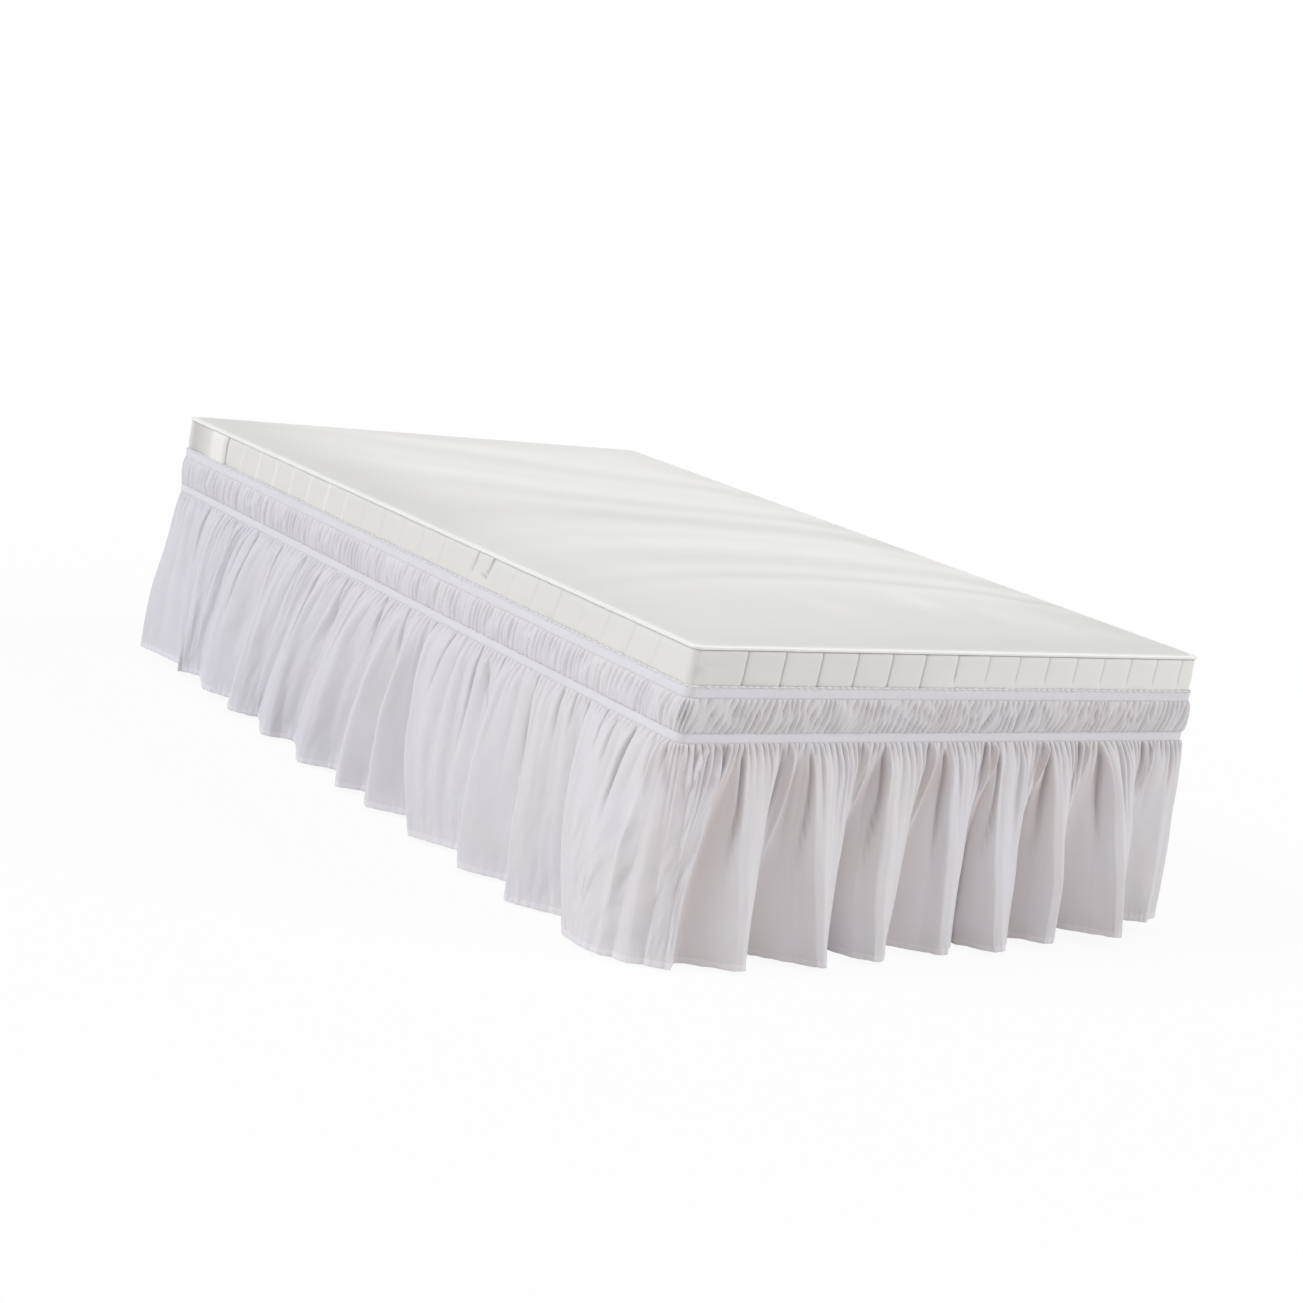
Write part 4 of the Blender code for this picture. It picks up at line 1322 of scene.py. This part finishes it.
# Tucks of the border, and raised ribs with painted light where the depth is below 0: (place from the side's
# start, lean of its foot, share of the tuck depth, how far down it shows)
FOOT_TUCKS = tuple(foot_tuck(k) for k in range(15))
LEFT_TUCKS = (
    (0.179, -0.004, 1.0, 1.0),
    *tuck_row(0.258, 7, -0.012, -0.22, -0.06, 0.9),
    *tuck_row(0.786, 5, -0.012, 0.10, 0.0, 0.7),
    (1.209, -0.030, 0.8, 0.5),
    (1.261, -0.036, 1.25, 0.75),
    *tuck_row(1.337, 7, -0.022, 0.10, 0.05, 0.8),
)
RIGHT_TUCKS = tuple((LEFT_RUN - place, -lean, 0.5, 0.9) for place, lean, _, _ in LEFT_TUCKS)
HEAD_TUCKS = tuple((FOOT_RUN - place, -lean, 0.6, 0.9) for place, lean, _, _ in FOOT_TUCKS)
SIDE_TUCKS = (LEFT_TUCKS, FOOT_TUCKS, RIGHT_TUCKS, HEAD_TUCKS)

# Columns of the block's mesh
TUCK_OFFSETS = (
    -0.018, -0.0135, -0.009, -0.0060, -0.0038, -0.0020, -0.0010, 0.0, 0.0012, 0.0030, 0.0065, 0.0130,
)
COLUMN_PITCH = 0.019
COLUMN_GAP = 0.004
SIDE_MARGIN = 0.002
CORNER_STEPS = 8

# The border's relief
LEAN_POWER = 1.3  # makes a tuck lean more further down
TUCK_BEFORE = 0.0011  # run of a tuck's groove before it and after it
TUCK_AFTER = 0.0045
TUCK_REACH = 0.03
TUCK_END = (0.25, 1.0, 0.0)  # from where it stops showing on
TUCK_GROWTH = (0.0, 0.1, 0.75, 1.0)
TUCK_LINE = (0.0036, 0.0019)  # half width of the painted shade line of a faint tuck, and of a deep one
DEEP_TUCK = 0.625
TUCK_LINE_SHIFT = 0.0004
PALE_WIDTH = 0.0042
TUCK_SWELL = (0.0007, -0.012, 0.012)  # swell before a tuck: height, place and half width
SWELL_REACH = 0.06
BORDER_SOFT = 0.0012
BORDER_SUNK = 0.15  # share of that by which the border lies further in
BORDER_NOISE = ((0.045, 0.30), 135)  # (pitches along and down, seed)
CORNER_SHIFT = 0.018
CORNER_WIDTH = 0.030
CORNER_SOFT = 0.0016
CORNER_NOISE = ((0.020, 0.13), 131)
# Painted shade in soft creases of the border by the foot's corners
CORNER_CREASE_NOISE = ((0.030, 0.12), 133)
CORNER_CREASES = (0.12, 0.25, 0.0, 0.30)
WHITE_TUCK = (0.096, 0.166)  # the pale, raised piece between two tucks by the left head corner
WHITE_RISE = 0.0012
RISE_EDGE = 0.006
TONE_EDGE = 0.004
# painted shade at the head end of the left side's border
HEAD_END_SHADE = 0.6
# painted light on the raised ribs
PALE_TONE = 1.6
LEFT_TONE = 0.3
FOOT_TONES = (0.22, 1.0)  # painted light of the foot's border, from its left end to its right end
BORDER_BOTTOM = 0.470
BORDER_SHARES = (1.0, 0.93, 0.86, 0.78, 0.70, 0.62, 0.54, 0.46, 0.38, 0.30, 0.22, 0.14, 0.07, 0.02)
ROUND_OFF = (0.0016, 0.07)  # how far the border is drawn in by the piping, and over which share
PLAIN_TONE = 0.5

# Rings of the block's underside: (inset, height over it), and heights of the plain part behind the skirt
BOTTOM_RINGS = (
    (0.55, 0.0002), (0.40, 0.0002), (0.20, 0.0002), (0.05, 0.0002), (0.012, 0.0002),
    (0.0045, 0.0010), (0.0010, 0.0045),
)
HIDDEN_HEIGHTS = (0.318, 0.360, 0.400, 0.440, 0.462)
HIDDEN_REACH = -0.0002

# The groove that the piping lies in
GROOVE = PIPING_INSET + PIPING_RADIUS + TOUCH_GAP
GROOVE_FLOOR = PIPING_HEIGHT - PIPING_RADIUS - TOUCH_GAP
PIPING_SHADE = (0.06, 0.40)  # painted shade under the piping on the left side, and from the foot on
GROOVE_RINGS = ((-0.0012, -0.0006), (-0.0040, 0.0))  # (reach, height over the groove's floor)
GROOVE_WALL = ((0.0003, 0.2), (0.0012, 0.7), (0.003, 1.0))  # (inset from the groove, share of the way up)
GROOVE_SHADE = 0.5  # painted shade at the inner end of its floor
WALL_SHADE = 0.15

# The top: how it rolls down to the piping and swells to its crown
TOP_START = 0.012
TOP_RINGS = 34
TOP_SPACING = 1.6  # power that puts the rings close together by the piping
ROLL_INSET = 0.022
ROLL_RISE = 0.0062
CROWN_INSET = 0.200
CROWN_RISE = 0.0125
RIPPLE = (0.02, 0.08, 0.0, 0.0030)
# Its soft bands of painted light, which also ripple it a little, with hollows and painted shade where the
# height is below 0: (place towards the head, half width, height)
TOP_BANDS = (
    (0.80, 0.060, 0.30),
    (0.66, 0.050, -0.20),
    (0.52, 0.045, 0.15),
    (0.385, 0.060, 0.42),
    (0.27, 0.045, -0.22),
    (0.19, 0.035, 0.16),
    (0.100, 0.050, -0.38),
    (-0.02, 0.045, 0.25),
    (-0.135, 0.050, 0.42),
    (-0.25, 0.045, -0.22),
    (-0.335, 0.030, 0.22),
    (-0.395, 0.022, -0.36),
    (-0.45, 0.035, 0.18),
)
# Swells by the foot, painted lighter and rippled a little: (x, y, height), and their half widths
TOP_SWELLS = (
    (-0.098, -0.63, 0.25),
    (0.173, -0.58, 0.42),
    (0.307, -0.65, 0.32),
    (0.391, -0.72, 0.30),
    (0.49, -0.745, 0.25),
)
SWELL_WIDTHS = (0.045, 0.085)
BAND_SLOPE = (-0.15, 0.95, 0.0, 0.52)
BAND_BOW = (-0.2, 0.6, 0.42, 0.0)
BANDS_SHOWN = (-0.50, 0.45, 0.25, 1.0)
TOP_TONE = (0.41, 0.26, 0.14)  # painted light, lighter towards the right and the head: at the middle, and what x and y add
# painted shade towards the top's edges
MIDDLE_TONE = (0.0, 0.22, 0.0, 0.28)
# painted shade on the top by the foot, stronger to the right, and along its left edge towards the head
TOP_FOOT_SHADE = (-0.72, 0.30, 0.46, 0.0)
TOP_FOOT_SHADE_ACROSS = (0.62, 1.05)  # share of it at the middle, and what x adds
TOP_LEFT_SHADE = (-0.55, 0.25, 0.44, 0.0)
TOP_LEFT_SHADE_ALONG = (-0.3, 0.6)


def side_places(run, tucks):
    """Places along a side, close together at its tucks."""
    places = {round(place + offset, 5) for place, _, _, _ in tucks for offset in TUCK_OFFSETS}
    for place in np.linspace(0.0, run, round(run / COLUMN_PITCH) + 1):
        if all(abs(place - other) > COLUMN_GAP for other in places):
            places.add(round(float(place), 5))
    return np.array(sorted(place for place in places if SIDE_MARGIN <= place <= run - SIDE_MARGIN))


def border_columns():
    """Places round the block, the same on opposite sides."""
    left, foot = side_places(LEFT_RUN, LEFT_TUCKS), side_places(FOOT_RUN, FOOT_TUCKS)
    sides = (left, foot, LEFT_RUN - left[::-1], FOOT_RUN - foot[::-1])
    arc = ARC_RUN * np.arange(CORNER_STEPS + 1) / CORNER_STEPS
    return np.concatenate([
        places for (start, run), side in zip(SIDES, sides) for places in (start + side, start + run + arc)
    ])


def tuck_relief(s, share, tuck_depth):
    """Reach, creasing and paleness that the tucks give the border at a share of the way down it: the creasing
    is painted shade along the tucks, the paleness painted light on raised ribs.
    """
    reach, crease, pale = np.zeros((3, len(s)))
    swell, swell_place, swell_width = TUCK_SWELL
    for (start, _), tucks in zip(SIDES, SIDE_TUCKS):
        for place, lean, depth, shows in tucks:
            away = s - (start + place + lean * share**LEAN_POWER)
            strength = depth * eased(share, shows, *TUCK_END) * eased(share, *TUCK_GROWTH)
            groove = np.exp(-np.where(away < 0, -away / TUCK_BEFORE, away / TUCK_AFTER))
            reach -= np.where(np.abs(away) < TUCK_REACH, tuck_depth * strength * groove, 0.0)
            # painted shade along the tuck's line, and painted light on a raised rib
            line = bell(away - TUCK_LINE_SHIFT, mix(*TUCK_LINE, min(depth / DEEP_TUCK, 1.0)))
            crease = np.maximum(crease, min(strength, 1.0) * line)
            pale = np.maximum(pale, -strength * bell(away, PALE_WIDTH))
            before = swell * min(depth, 1.0) * bell(away - swell_place, swell_width)
            reach += np.where(np.abs(away) < SWELL_REACH, before, 0.0)
    return reach, crease, pale


def in_white_tuck(s, edge):
    """1 on the pale, raised piece, and 0 away from it."""
    start, end = WHITE_TUCK
    return smooth((s - start) / edge) * smooth((end - s) / edge)


def border_surface(s, share, sizes):
    """Reach, creasing and paleness of the border at a share of the way down from the piping; the creasing is
    painted shade.
    """
    reach, crease, pale = tuck_relief(s, share, sizes.tuck_depth)
    reach += BORDER_SOFT * (noise2(s, share, *BORDER_NOISE) - BORDER_SUNK)
    for corner in CORNERS:
        near = bell(s - corner - CORNER_SHIFT, CORNER_WIDTH)
        reach += near * CORNER_SOFT * noise2(s, share, *CORNER_NOISE)
        # painted shade in the creases by the corner
        creased = eased(noise2(s, share, *CORNER_CREASE_NOISE), *CORNER_CREASES)
        crease = np.maximum(crease, near * creased)
    # painted shade towards the left head end
    crease = np.maximum(crease, HEAD_END_SHADE * smooth(1 - s / WHITE_TUCK[0]))
    return reach + WHITE_RISE * in_white_tuck(s, RISE_EDGE), crease, pale


def border_tone(s, pale):
    """Lightness of the border, from 0 to 1: painted shade at the left head end, and painted light on raised
    ribs and along the foot, growing towards its right end.
    """
    before = smooth((WHITE_TUCK[0] - s) / TONE_EDGE)
    tone = mix(LEFT_TONE, 1.0, in_white_tuck(s, TONE_EDGE)) - LEFT_TONE * before
    at_foot = np.abs(s - FOOT_START - FOOT_RUN / 2) < FOOT_RUN / 2 + ARC_RUN
    tone = np.where(at_foot, mix(*FOOT_TONES, (s - FOOT_START) / FOOT_RUN), tone)
    return unit(tone + PALE_TONE * pale)


def top_tone(x, y):
    """Lightness and swelling of the top, from 0, a hollow, to 1, a swell; the lightness is painted light and
    shade.
    """
    across = y + eased(y, *BAND_SLOPE) * x + eased(y, *BAND_BOW) * x * x
    relief = sum(height * bell(across - place, width) for place, width, height in TOP_BANDS)
    for place_x, place_y, height in TOP_SWELLS:
        width_x, width_y = SWELL_WIDTHS
        relief = relief + height * bell(x - place_x, width_x) * bell(y - place_y, width_y)
    from_edge = np.minimum(BED_WIDTH / 2 - np.abs(x), BED_LENGTH / 2 - np.abs(y - BED_SHIFT))
    middle, by_x = TOP_FOOT_SHADE_ACROSS
    # painted shade by the foot and along the left edge
    top_shade = eased(y, *TOP_FOOT_SHADE) * (middle + by_x * x) + eased(x, *TOP_LEFT_SHADE) * eased(y, *TOP_LEFT_SHADE_ALONG)
    base, by_x, by_y = TOP_TONE
    tone = base + by_x * x + by_y * y + eased(from_edge, *MIDDLE_TONE) - top_shade
    return unit(tone + relief * eased(x, *BANDS_SHOWN))


def drawn_in(s, reach, inset):
    """Points (x, y) of the block's outline, drawn in towards its middle."""
    x, y = outline(s % WHOLE_RUN, reach)
    return x * (1 - 2 * inset / BED_WIDTH), BED_SHIFT + (y - BED_SHIFT) * (1 - 2 * inset / BED_LENGTH)


def ring(s, reach, inset, z, crease=0.0, tone=PLAIN_TONE):
    """A ring of the block: its points, then its creasing and tone, which its material shows as painted shade
    and painted light.
    """
    x, y = drawn_in(s, reach, inset)
    return side_by_side(x, y, z, crease, tone)


def border_rings(s, sizes):
    """The tucked border, from behind the upper elastic up to the piping."""
    rings = []
    for share in BORDER_SHARES:
        reach, crease, pale = border_surface(s, share, sizes)
        height, width = ROUND_OFF
        z = mix(GROOVE_FLOOR, BORDER_BOTTOM, share)
        rings.append(ring(s, reach - height * bell(share, width), 0.0, z, crease, border_tone(s, pale)))
    return rings


def groove_rings(s):
    """The groove that the piping lies in, with painted shade under the piping."""
    shade = mix(*PIPING_SHADE, eased(s, FOOT_START, ARC_RUN))
    rings = [ring(s, reach, 0.0, GROOVE_FLOOR + lift, shade) for reach, lift in GROOVE_RINGS]
    rings.append(ring(s, 0.0, GROOVE, GROOVE_FLOOR, GROOVE_SHADE))
    for inset, rise in GROOVE_WALL:
        z = mix(GROOVE_FLOOR, PIPING_HEIGHT + PIPING_RADIUS, rise)
        rings.append(ring(s, 0.0, GROOVE + inset, z, WALL_SHADE * (1 - rise)))
    return rings


def top_rings(s):
    """The softly rippled top, from the piping to its middle."""
    rings = []
    for share in np.linspace(0.0, 1.0, TOP_RINGS) ** TOP_SPACING:
        inset = mix(TOP_START, BED_WIDTH / 2, share)
        roll = eased(inset, GROOVE, ROLL_INSET - GROOVE, PIPING_RADIUS, ROLL_RISE)
        crown = eased(inset, TOP_START, CROWN_INSET - TOP_START, 0.0, CROWN_RISE - ROLL_RISE)
        tone = top_tone(*drawn_in(s, 0.0, inset))
        ripple = (tone - PLAIN_TONE) * eased(inset, *RIPPLE)
        rings.append(ring(s, 0.0, inset, PIPING_HEIGHT + roll + crown + ripple, 0.0, tone))
    return rings


def block_rings(sizes):
    """Every ring of the block, from the middle of its top down to the middle of its underside."""
    s = border_columns()
    rings = [ring(s, 0.0, inset, FLOOR_TO_BLOCK + lift) for inset, lift in BOTTOM_RINGS]
    rings += [ring(s, HIDDEN_REACH, 0.0, z) for z in HIDDEN_HEIGHTS]
    rings += border_rings(s, sizes) + groove_rings(s) + top_rings(s)
    return np.array(rings)[::-1]


class BEDSKIRT_OT_block(bpy.types.Operator):
    """Build the upholstered block: its tucked border and its softly rippled top"""
    bl_idname = "bedskirt.block"
    bl_label = "Box spring"

    def execute(self, context):
        sizes, colours = context.scene.bed_skirt_sizes, context.scene.bed_skirt_colours
        material = material_named("smooth block cover", cover_material, colours)
        rings = block_rings(sizes)
        # crease is painted shade, and tone painted light and shade, for the cover's material
        values = {"crease": rings[:, :, 3], "tone": rings[:, :, 4]}
        mesh = grid_mesh("block_cover", rings[:, :, :3], None, values, closed=True)
        close_mesh(mesh, merge_distance=2e-5)
        piece = add_object("block_cover", mesh, material)
        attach(piece, "root")
        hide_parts("box_spring")
        return {"FINISHED"}


PIPING_SIDES = 12
PIPING_PITCH = 0.012
PIPING_CORNER_STEPS = 9
PIPING_SWAY = 0.0003
SWAY_NOISE = (0.05, 141)
PIPING_THICKENING = 0.05
THICKENING_NOISE = (0.03, 151)


def piping_columns():
    """Places round the block, closer together at its corners."""
    places = []
    for start, run in SIDES:
        places.append(np.linspace(0, run, round(run / PIPING_PITCH), endpoint=False) + start)
        places.append(start + run + np.linspace(0, ARC_RUN, PIPING_CORNER_STEPS, endpoint=False))
    return np.concatenate(places)


def piping_points(s):
    """Points of the piping, its rows running round its section and its columns along it."""
    height = PIPING_HEIGHT + PIPING_SWAY * (noise(s, *SWAY_NOISE) - 0.5)
    radius = PIPING_RADIUS * (1 + PIPING_THICKENING * (noise(s, *THICKENING_NOISE) - 0.5))
    rows = []
    for angle in np.linspace(0, 2 * math.pi, PIPING_SIDES + 1):
        x, y = outline(s, -PIPING_INSET + radius * math.sin(angle))
        rows.append(side_by_side(x, y, height + radius * math.cos(angle)))
    return np.array(rows)


class BEDSKIRT_OT_piping(bpy.types.Operator):
    """Build the piping round the block's top edge"""
    bl_idname = "bedskirt.piping"
    bl_label = "Piping"

    def execute(self, context):
        colours = context.scene.bed_skirt_colours
        material = material_named("satin piping", piping_material, colours)
        s = piping_columns()
        points = piping_points(s)
        around = np.linspace(0, 2 * math.pi * PIPING_RADIUS, PIPING_SIDES + 1)[:, None]
        mesh = grid_mesh("piping_cord", points, side_by_side(s, around), closed=True)
        close_mesh(mesh, merge_distance=1e-6)
        piece = add_object("piping_cord", mesh, material)
        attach(piece, "root")
        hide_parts("top_piping")
        return {"FINISHED"}


class BEDSKIRT_OT_base(bpy.types.Operator):
    """Give the bed's board and legs their wood"""
    bl_idname = "bedskirt.base"
    bl_label = "Base and legs"

    def execute(self, context):
        colours = context.scene.bed_skirt_colours
        for name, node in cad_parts.items():
            upright = name.startswith("leg_")
            if not upright and name != "bed_base":
                continue
            label = "pale wood, upright grain" if upright else "pale wood, level grain"
            stretch = GRAIN_UPRIGHT if upright else GRAIN_LEVEL
            node.data.materials.clear()
            node.data.materials.append(material_named(label, wood_material, colours, label, stretch))
        return {"FINISHED"}


# ---------------------------------------------------------------- the stage

CAMERA_PLACE = (-3.13365, -4.09980, 1.37436)
CAMERA_VIEW = (0.59455, 0.77748, -0.20502)
CAMERA_UP = (-0.01581, 0.26624, 0.96378)
CAMERA_LENS = 71.22
FLOOR_RADIUS = 6.0
FLOOR_DROP = 0.0005
FLOOR_FADE = (1.6, 5.0)
FLOOR_GLOW = 0.93  # share of the floor's own light in what the camera sees of it
WHITE = (1.0, 1.0, 1.0, 1.0)
STUDIO_COLOUR = (1.0, 0.913, 0.876, 1.0)
STUDIO_STRENGTH = 0.594
# (name, direction to it, strength, angle in degrees, colour)
SUNS = (
    ("key", (-0.77, 0.235, 0.59), 1.45, 18.0, (0.876, 0.941, 1.0)),
    ("fill", (0.66, -0.50, 0.56), 1.225, 30.0, (0.856, 0.932, 1.0)),
)


def floor_material():
    """A pale floor that fades away around the bed."""
    material, tree, shader = shader_of("pale floor", (0.80, 0.80, 0.80), 0.9)
    by_camera = add_node(tree, "ShaderNodeLightPath").outputs["Is Camera Ray"]
    seen = span(tree, by_camera, WHOLE_RANGE, (0.0, FLOOR_GLOW))
    glow = add_node(tree, "ShaderNodeEmission", {"Color": WHITE, "Strength": 1.0})
    pale = add_node(tree, "ShaderNodeMixShader", {0: seen, 1: shader.outputs[0], 2: glow.outputs[0]})
    away = add_node(tree, "ShaderNodeVectorMath", {0: place_in(tree)}, operation="LENGTH").outputs["Value"]
    faded = span(tree, away, FLOOR_FADE, WHOLE_RANGE, interpolation_type="SMOOTHSTEP")
    clear = add_node(tree, "ShaderNodeBsdfTransparent")
    blend = add_node(tree, "ShaderNodeMixShader", {0: faded, 1: pale.outputs[0], 2: clear.outputs[0]})
    tree.links.new(blend.outputs[0], tree.nodes["Material Output"].inputs["Surface"])
    return material


def add_floor():
    bm = bmesh.new()
    bmesh.ops.create_circle(bm, cap_ends=True, segments=96, radius=FLOOR_RADIUS)
    mesh = bpy.data.meshes.new("floor")
    bm.to_mesh(mesh)
    bm.free()
    mesh.transform(Matrix.Translation((0.0, 0.0, -FLOOR_DROP)))
    floor = add_object("floor", mesh, floor_material())


def add_world(scene):
    """White to the camera, and a warmer, dimmer light to everything else."""
    world = bpy.data.worlds.new("studio")
    scene.world = world
    world.use_nodes = True
    tree = world.node_tree
    tree.nodes.clear()
    seen = add_node(tree, "ShaderNodeBackground", {"Color": WHITE, "Strength": 1.0})
    lit = add_node(tree, "ShaderNodeBackground", {"Color": STUDIO_COLOUR, "Strength": STUDIO_STRENGTH})
    by_camera = add_node(tree, "ShaderNodeLightPath").outputs["Is Camera Ray"]
    both = add_node(tree, "ShaderNodeMixShader", {0: by_camera, 1: lit.outputs[0], 2: seen.outputs[0]})
    add_node(tree, "ShaderNodeOutputWorld", {"Surface": both.outputs[0]})


def add_suns(scene):
    for name, direction, energy, angle, color in SUNS:
        sun = bpy.data.lights.new(name, "SUN")
        sun.energy = energy
        sun.angle = math.radians(angle)
        sun.color = color
        lamp = bpy.data.objects.new(name, sun)
        lamp.rotation_euler = Vector(direction).to_track_quat("Z", "Y").to_euler()
        scene.collection.objects.link(lamp)


def add_camera(scene):
    camera = bpy.data.cameras.new("camera")
    camera.sensor_width = 36.0
    camera.lens = CAMERA_LENS
    camera.clip_end = 100.0
    view = Vector(CAMERA_VIEW).normalized()
    right = view.cross(Vector(CAMERA_UP)).normalized()
    turn = Matrix((right, right.cross(view), -view)).transposed().to_4x4()
    eye = bpy.data.objects.new("camera", camera)
    eye.matrix_world = Matrix.Translation(CAMERA_PLACE) @ turn
    scene.collection.objects.link(eye)
    scene.camera = eye


class BEDSKIRT_OT_stage(bpy.types.Operator):
    """Set up the floor, the light and the camera"""
    bl_idname = "bedskirt.stage"
    bl_label = "Stage"

    def execute(self, context):
        scene = context.scene
        add_floor()
        add_world(scene)
        add_suns(scene)
        add_camera(scene)
        scene.view_settings.view_transform = "Standard"
        return {"FINISHED"}


# ---------------------------------------------------------------- the add-on


OPERATORS = (
    BEDSKIRT_OT_block, BEDSKIRT_OT_piping, BEDSKIRT_OT_base, BEDSKIRT_OT_cloth,
    BEDSKIRT_OT_elastics, BEDSKIRT_OT_stitches, BEDSKIRT_OT_stage,
)


class BEDSKIRT_PT_panel(bpy.types.Panel):
    """Lists the steps that build the bed skirt and its bed"""
    bl_idname = "BEDSKIRT_PT_panel"
    bl_label = "Bed skirt"
    bl_space_type = "VIEW_3D"
    bl_region_type = "UI"
    bl_category = "Bed skirt"

    def draw(self, context):
        for group in (context.scene.bed_skirt_sizes, context.scene.bed_skirt_colours):
            for key in group.__annotations__:
                self.layout.prop(group, key)
        for operator in OPERATORS:
            self.layout.operator(operator.bl_idname)


CLASSES = (BedSkirtSizes, BedSkirtColours, *OPERATORS, BEDSKIRT_PT_panel)


def register():
    for cls in CLASSES:
        bpy.utils.register_class(cls)
    bpy.types.Scene.bed_skirt_sizes = bpy.props.PointerProperty(type=BedSkirtSizes)
    bpy.types.Scene.bed_skirt_colours = bpy.props.PointerProperty(type=BedSkirtColours)


def unregister():
    del bpy.types.Scene.bed_skirt_colours
    del bpy.types.Scene.bed_skirt_sizes
    for cls in reversed(CLASSES):
        bpy.utils.unregister_class(cls)


def main():
    register()
    for operator in OPERATORS:
        group, name = operator.bl_idname.split(".")
        if getattr(getattr(bpy.ops, group), name)() != {"FINISHED"}:
            raise RuntimeError(f"{operator.bl_idname} did not finish")


if __name__ == "__main__":
    main()
